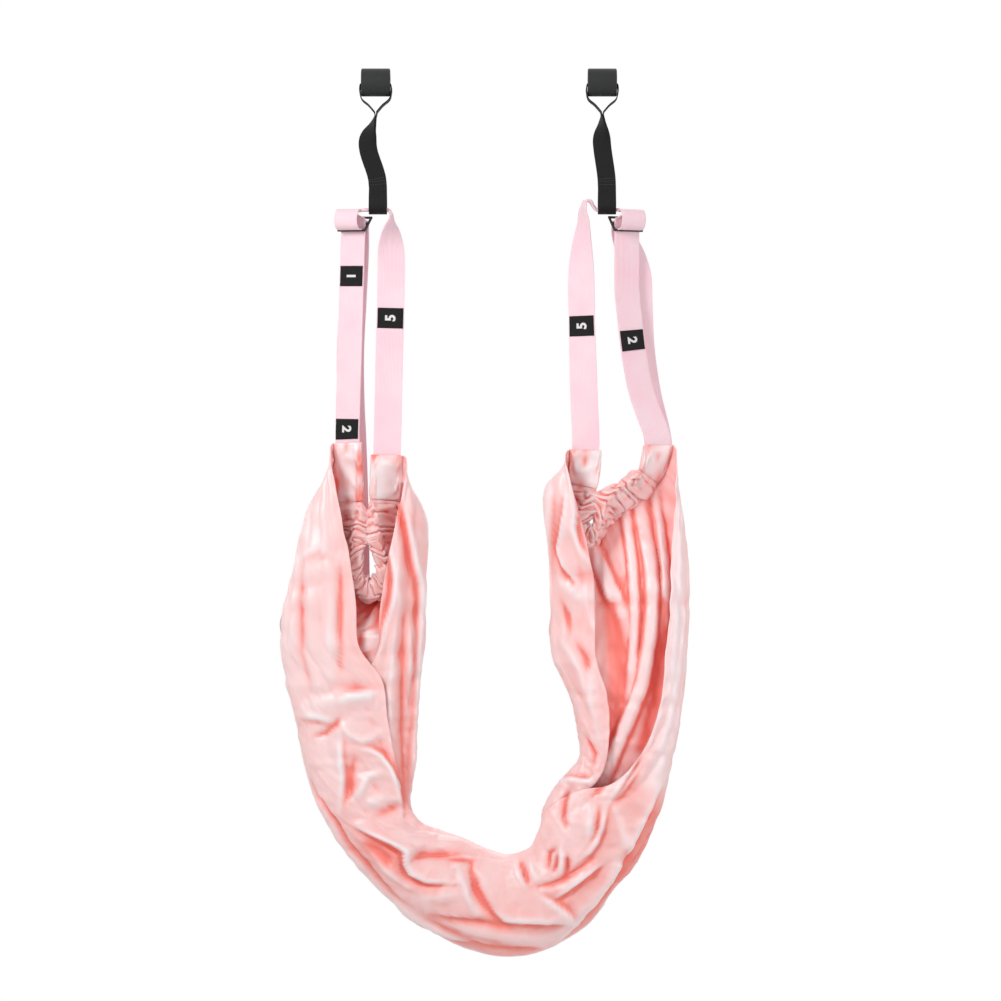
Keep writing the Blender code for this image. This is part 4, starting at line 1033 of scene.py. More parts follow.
# %% Ribs of the trough
LEG_DEPTH, BELLY_DEPTH, LEG_FORWARD, CLOTH_LAP, SPREAD = 0.033, 0.046, 0.009, 0.004, 1.3
RIBS = [
    # over (0 left leg, 1 right leg), outer x, outer drop, inner x, inner drop, depth, forward,
    # slit and gap in degrees, back wall's share of the depth
    (0.00, -0.1265, 0.273, 0.070, 0.273, LEG_DEPTH, LEG_FORWARD, 12, 9, -0.55),
    (0.00, -0.1200, 0.325, 0.064, 0.325, LEG_DEPTH, LEG_FORWARD, 17, -5, -0.45),
    (0.00, -0.1070, 0.387, 0.059, 0.387, LEG_DEPTH, LEG_FORWARD, 20, -8, 0.2),
    (0.00, -0.0940, 0.450, 0.058, 0.440, LEG_DEPTH, LEG_FORWARD, 27, -9, 0.7),
    (0.00, -0.0710, 0.516, 0.052, 0.495, 0.036, 0.008, 46, -9, 1.0),
    (0.10, -0.0610, 0.578, 0.031, 0.524, 0.040, 0.005, 62, -9, 1.0),
    (0.20, -0.0410, 0.632, 0.022, 0.538, 0.043, 0.002, 76, -9, 1.0),
    (0.33, -0.0330, 0.670, 0.016, 0.551, BELLY_DEPTH, 0.0, 84, -9, 1.0),
    (0.45, -0.0130, 0.699, 0.012, 0.566, BELLY_DEPTH, 0.0, 88, -9, 1.0),
    (0.60, -0.0060, 0.709, -0.005, 0.574, BELLY_DEPTH, 0.0, 88, -9, 1.0),
    (0.72, 0.0090, 0.699, -0.012, 0.564, BELLY_DEPTH, 0.0, 80, -9, 1.0),
    (0.82, 0.0310, 0.668, -0.034, 0.543, BELLY_DEPTH, 0.0, 66, -8, 0.75),
    (0.90, 0.0450, 0.617, -0.049, 0.494, 0.043, 0.003, 48, -6, 0.40),
    (1.00, 0.0500, 0.571, -0.055, 0.457, 0.039, 0.006, 34, -2, 0.0),
    (1.00, 0.0745, 0.514, -0.036, 0.436, 0.036, 0.008, 18, 9, -0.25),
    (1.00, 0.0950, 0.430, -0.036, 0.404, LEG_DEPTH, LEG_FORWARD, 0, 21, -0.38),
    (1.00, 0.1070, 0.355, -0.048, 0.350, LEG_DEPTH, LEG_FORWARD, -8, 27, -0.40),
    (1.00, 0.1120, 0.292, -0.073, 0.292, LEG_DEPTH, LEG_FORWARD, -10, 30, -0.38),
    (1.00, 0.1145, 0.225, -0.075, 0.225, LEG_DEPTH, LEG_FORWARD, -12, 32, -0.30),
]


def rib_points(rib, share):
    over, outer_x, outer_drop, inner_x, inner_drop, depth, forward, slit, gap, back_share = rib
    base = LEFT_X + ANCHOR_SPACING * over
    outer = np.array((base + outer_x, 0, MOUTH_Z - outer_drop))
    inner = np.array((base + inner_x, 0, MOUTH_Z - inner_drop))
    slit, gap = math.radians(slit), math.radians(gap)
    centre = (outer + inner) / 2 - (0, forward, 0)
    half = np.linalg.norm(outer - inner) / 2
    outward, front = (outer - inner) / (2 * half), np.array((0, -1.0, 0))
    open_way = front * math.cos(slit) - outward * math.sin(slit)
    outer_way = outward * math.cos(slit) + front * math.sin(slit)
    angle = gap + (2 * math.pi - 2 * gap) * share
    way = np.cos(angle)[:, None] * open_way + np.sin(angle)[:, None] * outer_way
    grow = 1 + CLOTH_LAP * (1 - 2 * share) / math.sqrt(half * depth)
    toward = way @ front
    toward = np.where(toward < 0, toward * back_share, toward)
    return (centre + outward * (way @ outward * half * grow)[:, None]
            + front * (toward * depth * grow)[:, None])


def end_points(route, marks, share, flip):
    """Where the sheet leaves the casing, and the way it leaves."""
    start, end = marks["mouth_in"], marks["mouth_out"]
    distance = end - (end - start) * share if flip else start + (end - start) * share
    place, _, across, face, _, _ = route.frame(distance)
    outward = SPREAD * smooth(0.45, 0.95, np.abs(across[:, 1]))
    way = unit(face * outward[:, None] - across)
    reach = TUNNEL_HALF_WIDTH + SLEEVE_WALL * 0.6
    return place - across * reach, way


def end_rows(route, marks, share, flip, rib, steps, wider=0.0):
    first, way = end_points(route, marks, share, flip)
    last = rib_points(rib, share)
    pull = np.maximum(smooth(0.26, 0.02, share), smooth(0.78, 0.98, share))[:, None]
    ahead = np.stack([np.where((share < 0.5) != flip, -0.30, 0.30), -np.ones_like(share),
                      np.zeros_like(share)], axis=1)
    way = unit(way * (1 - pull) + unit(ahead) * pull)
    flare = 0.006 + 0.040 * smooth(0.12, 0.75, np.abs(2 * share - 1))
    flare = (flare * (1 + 0.8 * smooth(0.72, 0.95, share) + wider * smooth(0.36, 0.12, share)))[:, None]
    drop = np.maximum(0.02, (first[:, 2] - last[:, 2]) * 0.42)
    second = first + way * flare
    third = last + np.stack([drop * 0, drop * 0, drop], axis=1)
    return [first * (1 - t) ** 3 + second * 3 * (1 - t) ** 2 * t
            + third * 3 * (1 - t) * t * t + last * t ** 3 for t in steps]


ROWS, COLUMNS = 301, 161
FINE = np.linspace(0, 1, 2001)
crowding = 0.6 + 1.7 * (1 - smooth(0.22, 0.36, 0.5 - np.abs(FINE - 0.5)))
crowded = np.concatenate(([0], np.cumsum(crowding)[:-1]))
SHARES = np.interp(np.linspace(0, crowded[-1], COLUMNS), crowded, FINE)
STEPS = np.linspace(0, 1, 9)[:-1] ** 1.15
EVEN = np.linspace(0, 1, COLUMNS)


def shares_at(n):
    """The columns of rib n: crowded to the front, but even in the right leg, whose back shows too."""
    even = min(1.0, max(0.0, (n - 11) / 3))
    return SHARES * (1 - even) + EVEN * even


left_rows = end_rows(left_route, left_marks, SHARES, False, RIBS[0], STEPS, 0.35)
right_rows = end_rows(right_route, right_marks, EVEN, True, RIBS[-1], STEPS)
control = np.array(left_rows + [rib_points(rib, shares_at(n)) for n, rib in enumerate(RIBS)]
                   + right_rows[::-1])
print("control rows and columns:", control.shape[:2])

# %% Smooth rows between the ribs
def ease_rows(rows, count):
    """count rows through the given ones, eased by the distance between them, closer in the belly."""
    gap = np.linalg.norm(np.diff(rows, axis=0), axis=2).mean(axis=1)
    at = np.concatenate(([0], np.cumsum(gap)))
    slope = np.empty_like(rows)
    chord = np.diff(rows, axis=0) / gap[:, None, None]
    slope[1:-1] = ((chord[:-1] * gap[1:, None, None] + chord[1:] * gap[:-1, None, None])
                   / (gap[1:] + gap[:-1])[:, None, None])
    slope[0], slope[-1] = chord[0], chord[-1]
    closer = 1 + 0.9 * smooth(0.17, 0.26, FINE) * smooth(0.82, 0.72, FINE)
    placed = np.concatenate(([0], np.cumsum(closer)[:-1]))
    wanted = np.interp(np.linspace(0, placed[-1], count), placed, FINE) * at[-1]
    found = []
    for distance in wanted:
        n = min(len(gap) - 1, max(0, int(np.searchsorted(at, distance, "right")) - 1))
        t = (distance - at[n]) / gap[n]
        s = 1 - t
        found.append(rows[n] * s * s * (1 + 2 * t) + rows[n + 1] * t * t * (1 + 2 * s)
                     + (slope[n] * s - slope[n + 1] * t) * gap[n] * t * s)
    return np.array(found), wanted


trough, along_sling = ease_rows(control, ROWS)
sling_length = along_sling[-1]
print("sling length", round(sling_length, 3), "m")

# %% [markdown]
# A smooth trough looks like a plastic pipe. Gathered cloth has long folds that start at the
# ruffles, join and fade as they run down, and twist in the belly. Each fold is round on top
# and sharp in its valley, so the folds are made with the size of a sine and carried along the
# surface, and the noise that bends them is stretched along the cloth. On top of these come the
# folds that the photograph shows, each told by a short line with a kind, a height and a width,
# and small buckles from a cloth simulation.

# %% Folds
ACROSS = 0.42  # the cloth's width in metres, for the noise


def fold_field(along, length):
    run = (along / length)[:, None]
    even = smooth(0.55, 0.66, run)
    share = SHARES[None, :] * (1 - even) + EVEN[None, :] * even
    plane = np.stack(np.broadcast_arrays(share * ACROSS, run * length * 0.16, 0 * share + 0 * run), axis=-1)
    coarse = np.stack(np.broadcast_arrays(share * ACROSS, run * length * 0.5, 0 * share + 3), axis=-1)
    bend = crumple(plane, 0.075, 2)
    bend2 = crumple(coarse, 0.12, 5)
    near_left, near_right = smooth(0.20, 0.02, run), smooth(0.80, 0.98, run)
    near = np.maximum(near_left, near_right)
    fine = np.abs(np.sin(math.pi * (19 * share + 1.6 * bend)))
    broad = np.abs(np.sin(math.pi * (7.5 * share + 1.5 * bend + 1.1 * bend2 + 1.2 * run)))
    level = 0.65 + 0.6 * crumple(coarse, 0.07, 8)
    height = (fine - 0.6) * 0.0042 * near + (broad - 0.6) * 0.0070 * (1 - 0.65 * near) * level
    slant = np.stack(np.broadcast_arrays(share * ACROSS + 0.25 * run * length, run * length * 0.55,
                                         0 * share + 6), axis=-1)
    wander = np.stack([crumple(slant, 0.05, 21), crumple(slant, 0.05, 22), 0 * broad], axis=-1)
    sharp = 1 - np.abs(crumple(slant + 0.012 * wander, 0.030, 23)) * 2.2
    height += 0.0022 * (np.clip(sharp, 0, 1) ** 2 - 0.35) * (1 - 0.6 * near)
    edge = smooth(0, 0.03, share) * smooth(1, 0.97, share)
    ends = smooth(0, 0.006, run) * smooth(1, 0.994, run)
    return height * (0.35 + 0.65 * edge) * ends


# %% Folds along lines
def to_line(spots, line):
    """Signed distance to a line of points, and how far along the line: 0 at its start, 1 at its end."""
    line = np.array(line, float)
    steps = np.diff(line, axis=0)
    lengths = np.linalg.norm(steps, axis=1)
    at = np.concatenate(([0], np.cumsum(lengths)))
    best, side, far = np.full(len(spots), 1e9), np.zeros(len(spots)), np.zeros(len(spots))
    for start, step, length, before in zip(line, steps, lengths, at):
        rest = spots - start
        t = np.clip(rest @ step / length ** 2, 0, 1)
        off = rest - t[:, None] * step
        gap = np.linalg.norm(off, axis=1)
        sign = np.where(step[0] * rest[:, 1] - step[1] * rest[:, 0] > 0, 1, -1)
        near = gap < best
        best, side = np.where(near, gap, best), np.where(near, gap * sign, side)
        far = np.where(near, (before + t * length) / at[-1], far)
    return side, far


def fold_heights(grid, facing, folds):
    """Each fold is a line across the picture of the cloth, in its camera's pixels, with its height
    in millimetres and its width. An edge stands up on the left of its line and drops on the
    right. A ridge stands up on both sides, a roll is half round, and a furrow goes down on both.
    A wash only gives its painted tone: painted shade where its height is above 0 and painted
    highlight where it is below.
    Also gives each point's painted tone: painted highlight below 0 on the crests and along the
    top of each edge, painted shade above 0 in the valleys and in a line under each edge."""
    flat = grid.reshape(-1, 3)
    spots = np.stack([flat[:, 0] / PIXEL, flat[:, 2] / PIXEL], axis=1)
    height, rolled, tone, roll_tone = (np.zeros(len(flat)) for _ in range(4))
    down = np.gradient(spots.reshape(*grid.shape[:2], 2), axis=0).reshape(-1, 2)
    weight = smooth(0.05, 0.45, facing.reshape(-1))
    for kind, tall, wide, line in folds:
        points = [(x - ORIGIN_X, ORIGIN_Y - y) for x, y in line]
        low = np.min(points, axis=0) - 3 * wide - 8
        high = np.max(points, axis=0) + 3 * wide + 8
        near = np.flatnonzero((spots > low).all(1) & (spots < high).all(1) & (weight > 0))
        if not len(near):
            continue
        side, far = to_line(spots[near], points)
        chord = unit(np.subtract(points[-1], points[0]).astype(float))
        # 0 for a line that runs down the cloth, 1 for one straight across it
        soft = 1 - abs(float(unit(down[near].mean(axis=0)) @ chord)) ** 2
        fade = np.sin(math.pi * np.clip(far, 0.02, 0.98)) ** 0.7 * weight[near]
        strong = min(1.0, tall / 4.0)
        if kind == "wash":
            # a wash paints shade where its height is above 0 and a highlight where it is below
            tone[near] += tall * np.exp(-(side / wide) ** 2) * weight[near]
            continue
        if kind == "edge":
            crest = 1 / (1 + np.exp(-np.clip(side / (0.85 + soft), -30, 30)))
            shape = crest * np.exp(-(np.maximum(side, 0) / wide) ** 1.6)
            shape -= 0.35 * np.exp(-((side + 2.5) / 2.6) ** 2)
            # painted shadow under the edge, and a painted highlight along its top
            under = (0.75 * np.exp(np.minimum(side, 0) / wide)
                     + 0.6 * np.exp(-((side + 1.6 + soft) / (1.5 + 1.4 * soft)) ** 2))
            glint = np.exp(-((side - 1.8 - soft) / (1.7 + 1.4 * soft)) ** 2)
            tone[near] += strong * fade * (under * (1 - crest) - 0.9 * glint)
        elif kind == "roll":
            shape = np.sqrt(np.maximum(0, 1 - (side / wide) ** 2))
            off = np.abs(side) / wide
            # painted shade round the sides of a roll and painted highlight on its top
            own = fade * (1.1 * np.exp(-((off - 1.05) / 0.33) ** 2) - 0.60 * np.exp(-(off / 0.6) ** 2))
            own = np.where((off < 1) | (rolled[near] > 0), own, np.maximum(own, roll_tone[near]))
            on_top = (tall * 0.001 * shape * fade >= rolled[near]) & (off < 1.5)
            roll_tone[near] = np.where(on_top, own, roll_tone[near])
            rolled[near] = np.maximum(rolled[near], tall * 0.001 * shape * fade)
            continue
        else:
            shape = np.exp(-np.abs(side / wide) ** 1.7)
            # painted shade along a furrow, painted highlight along a ridge
            line_tone = 0.75 * shape + 0.5 * np.exp(-(side / (1.6 + 1.6 * soft)) ** 2)
            tone[near] += strong * fade * line_tone * (1.0 if kind == "furrow" else -0.42)
        height[near] += (-tall if kind == "furrow" else tall) * 0.001 * shape * fade
    return (height + rolled).reshape(grid.shape[:2]), (tone + roll_tone).reshape(grid.shape[:2])


# %% [markdown]
# Noise alone puts folds anywhere, so the main ones are told one by one. Each has its kind, its
# height in millimetres, its width in pixels and a short line of places, read in the
# photograph's pixels. For a wash the height is the strength of its painted tone: painted
# shade above 0 and painted highlight below 0.

# %% The folds at the front
FRONT_FOLDS = [
    # broad painted shade and painted highlight
    ("wash", -0.65, 12, [(678, 470), (678, 560), (676, 640), (668, 720), (655, 780)]),
    ("wash", -0.20, 20, [(315, 520), (305, 600), (310, 680), (335, 760)]),
    ("wash", 0.20, 13, [(412, 500), (408, 560), (400, 640), (400, 800)]),
    ("wash", 0.45, 6, [(440, 936), (470, 948), (505, 954), (545, 952), (568, 940)]),
    ("furrow", 4.0, 3.8, [(420, 912), (440, 924), (470, 936), (510, 943), (550, 945)]),
    ("wash", 0.45, 7, [(575, 935), (600, 905), (622, 875), (643, 845), (657, 812)]),
    ("wash", 0.22, 26, [(345, 830), (400, 880), (470, 915), (550, 905), (610, 850), (640, 800)]),
    # left leg, outer panel
    ("edge", 1.8, 6, [(298, 566), (306, 556), (320, 550), (337, 557)]),
    ("furrow", 3.0, 4.5, [(342, 560), (341, 620), (342, 650), (341, 672)]),
    ("ridge", 2.0, 6, [(330, 590), (331, 640), (332, 690)]),
    ("furrow", 2.4, 5, [(304, 560), (301, 600), (303, 650), (312, 690), (322, 693)]),
    ("ridge", 2.0, 7, [(300, 708), (325, 702), (350, 694), (370, 697), (384, 708)]),
    ("edge", 3.2, 7, [(380, 688), (366, 690), (350, 692), (337, 700)]),
    ("furrow", 3.0, 4, [(312, 735), (326, 732), (338, 722), (342, 714)]),
    ("edge", 3.0, 6, [(300, 716), (318, 718), (336, 722)]),
    ("ridge", 2.8, 4, [(340, 715), (350, 733), (364, 739), (378, 733), (385, 724)]),
    ("edge", 3.5, 7, [(343, 810), (346, 780), (344, 755), (343, 732)]),
    ("furrow", 3.0, 5, [(356, 752), (352, 772), (350, 800)]),
    ("ridge", 2.8, 4, [(350, 802), (362, 788), (370, 774), (386, 769)]),
    ("ridge", 2.2, 4, [(366, 803), (380, 796), (400, 797)]),
    ("furrow", 2.2, 5, [(374, 814), (388, 808), (402, 800)]),
    ("edge", 4.0, 9, [(404, 812), (400, 785), (393, 766), (383, 752), (372, 746), (358, 744)]),
    ("ridge", 2.0, 8, [(308, 480), (300, 530), (290, 580), (288, 640), (296, 700)]),
    # left leg, inner band
    ("edge", 4.5, 6, [(376, 500), (383, 530), (391, 555), (394, 578), (391, 602), (384, 628), (376, 662)]),
    ("edge", 4.5, 6, [(401, 495), (408, 528), (413, 560), (418, 582), (419, 612), (418, 640), (417, 668)]),
    ("furrow", 3.0, 4, [(398, 494), (405, 530), (409, 560), (412, 580)]),
    ("ridge", 2.8, 5, [(386, 505), (398, 545), (399, 600), (393, 645), (389, 700), (392, 755), (398, 800)]),
    ("furrow", 2.8, 4, [(404, 600), (403, 660), (403, 720), (405, 780), (407, 815)]),
    ("edge", 2.6, 5, [(413, 634), (417, 655), (415, 700), (412, 745), (411, 800)]),
    ("ridge", 2.0, 4, [(408, 620), (409, 650), (411, 690)]),
    # right leg, inner panel
    ("edge", 2.5, 4, [(551, 570), (551, 520), (553, 472)]),
    ("edge", 4.5, 7, [(566, 490), (563, 513), (559, 534), (556, 550), (563, 566), (573, 580), (581, 590)]),
    ("edge", 5.0, 6, [(590, 560), (579, 545), (575, 528), (576, 512), (573, 494)]),
    ("ridge", 3.4, 5, [(554, 576), (566, 585), (582, 597), (601, 594)]),
    ("furrow", 2.6, 3.5, [(560, 596), (566, 614), (570, 636)]),
    ("ridge", 2.8, 4, [(560, 638), (572, 652), (582, 674), (588, 700)]),
    ("ridge", 2.8, 4, [(584, 598), (592, 620), (600, 642), (603, 662)]),
    ("furrow", 2.6, 5, [(574, 640), (585, 655), (590, 672)]),
    ("ridge", 3.6, 5, [(601, 658), (592, 668), (591, 700), (597, 730), (604, 748)]),
    ("furrow", 3.0, 3, [(584, 733), (590, 744), (594, 752), (591, 766)]),
    ("edge", 3.0, 5, [(600, 770), (588, 778), (572, 776), (556, 781)]),
    ("edge", 2.4, 4, [(568, 692), (560, 682), (552, 670)]),
    # right leg, outer panel and the long fold beside it
    ("edge", 3.5, 8, [(668, 545), (666, 590), (661, 622), (659, 665), (655, 710), (645, 745), (634, 766)]),
    ("ridge", 2.2, 7, [(676, 500), (677, 570), (674, 640), (668, 720), (655, 770)]),
    ("furrow", 3.4, 4, [(650, 660), (645, 700), (638, 735), (628, 760)]),
    ("edge", 3.5, 6, [(607, 803), (621, 782), (633, 764), (641, 750)]),
    ("ridge", 3.0, 4, [(634, 700), (624, 730), (614, 752), (606, 776), (600, 800)]),
    ("edge", 2.6, 5, [(612, 800), (626, 784), (638, 766)]),
    # belly
    ("furrow", 5.0, 2.4, [(301, 765), (318, 797), (338, 822), (350, 846), (364, 860), (378, 876),
                          (394, 893), (412, 906)]),
    ("ridge", 3.6, 4, [(330, 828), (344, 852), (362, 875), (390, 902), (420, 922), (450, 933)]),
    ("edge", 7.0, 12, [(352, 822), (372, 832), (391, 841), (404, 849), (405, 862), (410, 871),
                       (426, 879), (452, 881)]),
    ("furrow", 4.0, 9, [(362, 838), (380, 850), (394, 864)]),
    ("ridge", 3.0, 4, [(358, 832), (372, 848), (384, 864), (400, 878), (420, 888)]),
    ("furrow", 4.0, 5, [(407, 862), (420, 852), (446, 851), (476, 855)]),
    ("edge", 3.5, 5, [(448, 855), (462, 855), (476, 857)]),
    ("ridge", 3.0, 8, [(408, 892), (430, 894), (462, 890)]),
    ("ridge", 2.6, 3, [(455, 858), (463, 880), (467, 892), (474, 906), (480, 914)]),
    ("furrow", 5.0, 4, [(474, 853), (472, 868), (476, 884), (484, 898), (493, 910), (504, 919)]),
    ("edge", 4.0, 9, [(484, 897), (493, 909), (504, 918), (540, 920), (574, 921)]),
    ("furrow", 3.0, 4, [(426, 908), (450, 913), (476, 917), (498, 922), (516, 926)]),
    ("edge", 3.2, 6, [(428, 910), (452, 914), (480, 918)]),
    ("edge", 3.5, 9, [(430, 930), (455, 937), (482, 941), (512, 945), (552, 947)]),
    ("edge", 4.2, 8, [(552, 898), (575, 882), (592, 868), (603, 860)]),
    ("furrow", 3.6, 3, [(532, 884), (552, 880), (567, 873), (581, 864), (594, 854)]),
    ("edge", 3.2, 8, [(576, 919), (566, 908), (553, 898), (540, 891)]),
    ("furrow", 3.2, 2.5, [(520, 858), (525, 872), (529, 883)]),
    ("ridge", 2.8, 3, [(513, 862), (520, 876), (526, 886)]),
    ("ridge", 2.8, 3, [(530, 858), (534, 872), (540, 880)]),
    ("furrow", 3.6, 2.5, [(557, 844), (549, 850), (548, 862), (551, 868)]),
    ("furrow", 3.2, 2.5, [(557, 850), (556, 862), (552, 870)]),
    ("ridge", 3.0, 3, [(561, 846), (562, 858), (558, 872)]),
    ("furrow", 4.2, 3, [(566, 852), (567, 864), (564, 874)]),
    ("edge", 3.6, 6, [(578, 858), (590, 850), (597, 840), (602, 826), (605, 812), (609, 800)]),
    ("furrow", 3.0, 2.5, [(598, 802), (598, 816), (595, 832), (589, 842)]),
    ("ridge", 3.0, 4, [(590, 800), (589, 818), (586, 836)]),
    ("furrow", 3.6, 3, [(569, 786), (564, 800), (562, 814), (568, 827)]),
    ("furrow", 4.4, 4, [(609, 752), (606, 772), (600, 786), (588, 797)]),
    ("ridge", 2.6, 4, [(611, 800), (618, 820), (623, 838), (627, 850)]),
    ("edge", 6.5, 12, [(556, 945), (575, 922), (592, 903), (611, 875), (627, 850), (641, 822),
                       (655, 795), (665, 776)]),
    ("furrow", 3.5, 4, [(618, 862), (624, 852), (625, 842)]),
]
print(len(FRONT_FOLDS), "folds at the front")

# %% The folds of the inner back wall
BACK_FOLDS = [
    # washes of painted shade in the folds of the back wall
    ("wash", 0.75, 9, [(610, 595), (614, 640), (616, 700), (608, 740)]),
    ("wash", 0.65, 6, [(664, 600), (662, 650), (655, 700), (640, 748)]),
    ("wash", 0.9, 14, [(376, 612), (374, 668)]),
    ("roll", 7.0, 6, [(396, 560), (392, 600), (384, 640), (375, 672)]),
    ("roll", 7.0, 6, [(352, 560), (360, 600), (368, 640), (373, 672)]),
    ("roll", 6.0, 5, [(372, 580), (373, 620), (374, 660)]),
    ("furrow", 4.5, 8, [(612, 590), (615, 630), (618, 680), (613, 730)]),
    ("furrow", 5.0, 7, [(664, 590), (662, 650), (655, 700), (642, 745)]),
    ("roll", 7.0, 6, [(575, 500), (579, 530), (586, 560), (592, 590)]),
    ("roll", 11.0, 9, [(580, 505), (588, 538), (598, 562), (609, 586), (620, 610), (629, 640)]),
    ("roll", 9.0, 5.5, [(621, 490), (627, 520), (632, 560), (634, 610), (632, 660), (627, 710)]),
    ("roll", 12.0, 8, [(636, 480), (643, 520), (650, 560), (652, 600), (649, 640), (642, 680), (630, 712),
                       (616, 745), (604, 775), (596, 800)]),
    ("roll", 9.0, 5, [(653, 485), (660, 525), (665, 570), (665, 610), (661, 650)]),
]
print(len(BACK_FOLDS), "folds on the inner back wall")

# %% Buckles from a cloth simulation
def resample(grid, rows, columns):
    """The same grid read at other numbers of rows and columns."""
    for axis, count in ((0, rows), (1, columns)):
        at = np.linspace(0, grid.shape[axis] - 1, count)
        low = np.minimum(at.astype(int), grid.shape[axis] - 2)
        t = at - low
        shape = [1] * grid.ndim
        shape[axis] = count
        t = t.reshape(shape)
        before = np.take(grid, np.maximum(low - 1, 0), axis)
        here, after = np.take(grid, low, axis), np.take(grid, low + 1, axis)
        beyond = np.take(grid, np.minimum(low + 2, grid.shape[axis] - 1), axis)
        grid = here + 0.5 * t * (after - before + t * (2 * before - 5 * here + 4 * after - beyond
                                                      + t * (3 * (here - after) + beyond - before)))
    return grid


def crumpled(grid, rows=150, columns=81, frames=22):
    """Lets a coarse copy of the trough grow by a few hundredths while it is held softly in its
    place. It has nowhere to go, so it buckles. Returns how far each point has moved."""
    coarse = resample(grid, rows, columns)
    draft = lay_grid("sling_draft", coarse, (1, 1))
    held = draft.vertex_groups.new(name="held")
    for row in range(rows):
        grip = 0.30 if 0 < row < rows - 1 else 1.0
        held.add(list(range(row * columns, (row + 1) * columns)), grip, "REPLACE")
    cloth = draft.modifiers.new("cloth", "CLOTH")
    weave = cloth.settings
    weave.quality = 6
    weave.mass = 0.2
    weave.air_damping = 3
    weave.tension_stiffness = weave.compression_stiffness = 20
    weave.shear_stiffness = 8
    weave.bending_stiffness = 0.5
    weave.vertex_group_mass = "held"
    weave.pin_stiffness = 1.0
    weave.shrink_min = -0.045
    weave.effector_weights.gravity = 0.15
    cloth.point_cache.frame_start, cloth.point_cache.frame_end = 1, frames
    for frame_number in range(1, frames + 1):
        scene.frame_set(frame_number)
    shaped = draft.evaluated_get(bpy.context.evaluated_depsgraph_get())
    found = np.zeros(rows * columns * 3, np.float32)
    shaped.data.vertices.foreach_get("co", found)
    scene.frame_set(1)
    bpy.data.objects.remove(draft)
    moved = (found.reshape(rows, columns, 3) - coarse).astype(float)
    moved -= spread(moved, 7)
    print("buckled by", round(float(np.abs(moved).max()) * 1000, 1), "mm at most,",
          round(float(np.linalg.norm(moved, axis=2).mean()) * 1000, 2), "mm on average")
    return resample(moved, *grid.shape[:2])


# %% The folded sheet
started = time.time()
buckles = crumpled(trough)
print("simulated in", round(time.time() - started, 1), "s")
outside = normals_of(trough)
if (outside[ROWS // 2, 20:60, 1] > 0).mean() > 0.5:
    outside = -outside
run_share = (along_sling / sling_length)[:, None]
front_height, front_tone = fold_heights(trough, -outside[..., 1], FRONT_FOLDS)
legs = smooth(0.55, 0.66, run_share) + smooth(0.40, 0.30, run_share)
inner_back = outside[..., 1] * legs
back_height, back_tone = fold_heights(trough, inner_back, BACK_FOLDS)
base = fold_field(along_sling, sling_length)
sideways = smooth(0.0, 0.55, np.abs(outside[..., 1]))
behind = 0.55 + 0.75 * smooth(0.0, 0.6, outside[..., 1])
behind *= 1 - 0.8 * smooth(0.60, 0.68, run_share) * smooth(-0.1, 0.4, outside[..., 1])
sheet = trough + outside * (2.0 * front_height + base * (0.35 + 0.65 * sideways) * behind)[..., None]
sheet += buckles * (0.40 * (0.2 + 0.8 * sideways))[..., None]
sheet[..., 1] -= back_height
print("folds stand out", round(float(front_height.max()) * 1000, 1), "mm at most")

# %% Painted shade and highlight, and the finished sheet
# painted shade in the valleys and painted highlight on the crests, from the sheet's shape and the traced
# folds; the inner wall gets a little painted shade all over
bent = hollow_of(sheet, outside, 5, 0.0008, 0.0048) - 0.5 * hollow_of(sheet, -outside, 5, 0.0006, 0.0050)
outer_tone = np.clip(0.7 * bent + front_tone, -1, 1)
inner_tone = np.clip(-1.3 * bent + back_tone + 0.12, -0.5, 1)
width = float(np.linalg.norm(np.diff(sheet, axis=1), axis=2).sum(1).mean())
sling = lay_grid("sling_cloth", sheet[:, ::-1], (width, sling_length))
mark_hollows(sling, outer_tone[:, ::-1])
give_wall(sling, CLOTH_WALL)
tone_both_sides(sling, sheet[:, ::-1], outside[:, ::-1], outer_tone[:, ::-1], inner_tone[:, ::-1])
dress(sling, "sling_and_straps", "pink_satin", pink_satin, "sling")

# %% [markdown]
# ## Stitches
#
# Sewing thread sits a little proud of the cloth and pulls it in on both sides. One stitch is
# modelled as a small rounded bar, and every row of stitches is that bar copied along a line,
# turned to lie along the seam.

# %% One stitch and rows of it
deselect()
bpy.ops.mesh.primitive_uv_sphere_add(segments=6, ring_count=4, radius=0.5)
one_stitch = bpy.context.object
stitch_points = np.array([vertex.co for vertex in one_stitch.data.vertices])
stitch_faces = [tuple(face.vertices) for face in one_stitch.data.polygons]
bpy.data.objects.remove(one_stitch)
pink_thread = new_material("pink_thread", (0.96, 0.60, 0.60), 0.45, Sheen_Weight=0.3)
add_pores(pink_thread, 900, 0.2, 0.0001)
black_thread = new_material("black_thread", (0.030, 0.028, 0.030), 0.42, Sheen_Weight=0.3)
add_pores(black_thread, 900, 0.2, 0.0001)
print("one stitch has", len(stitch_faces), "faces")


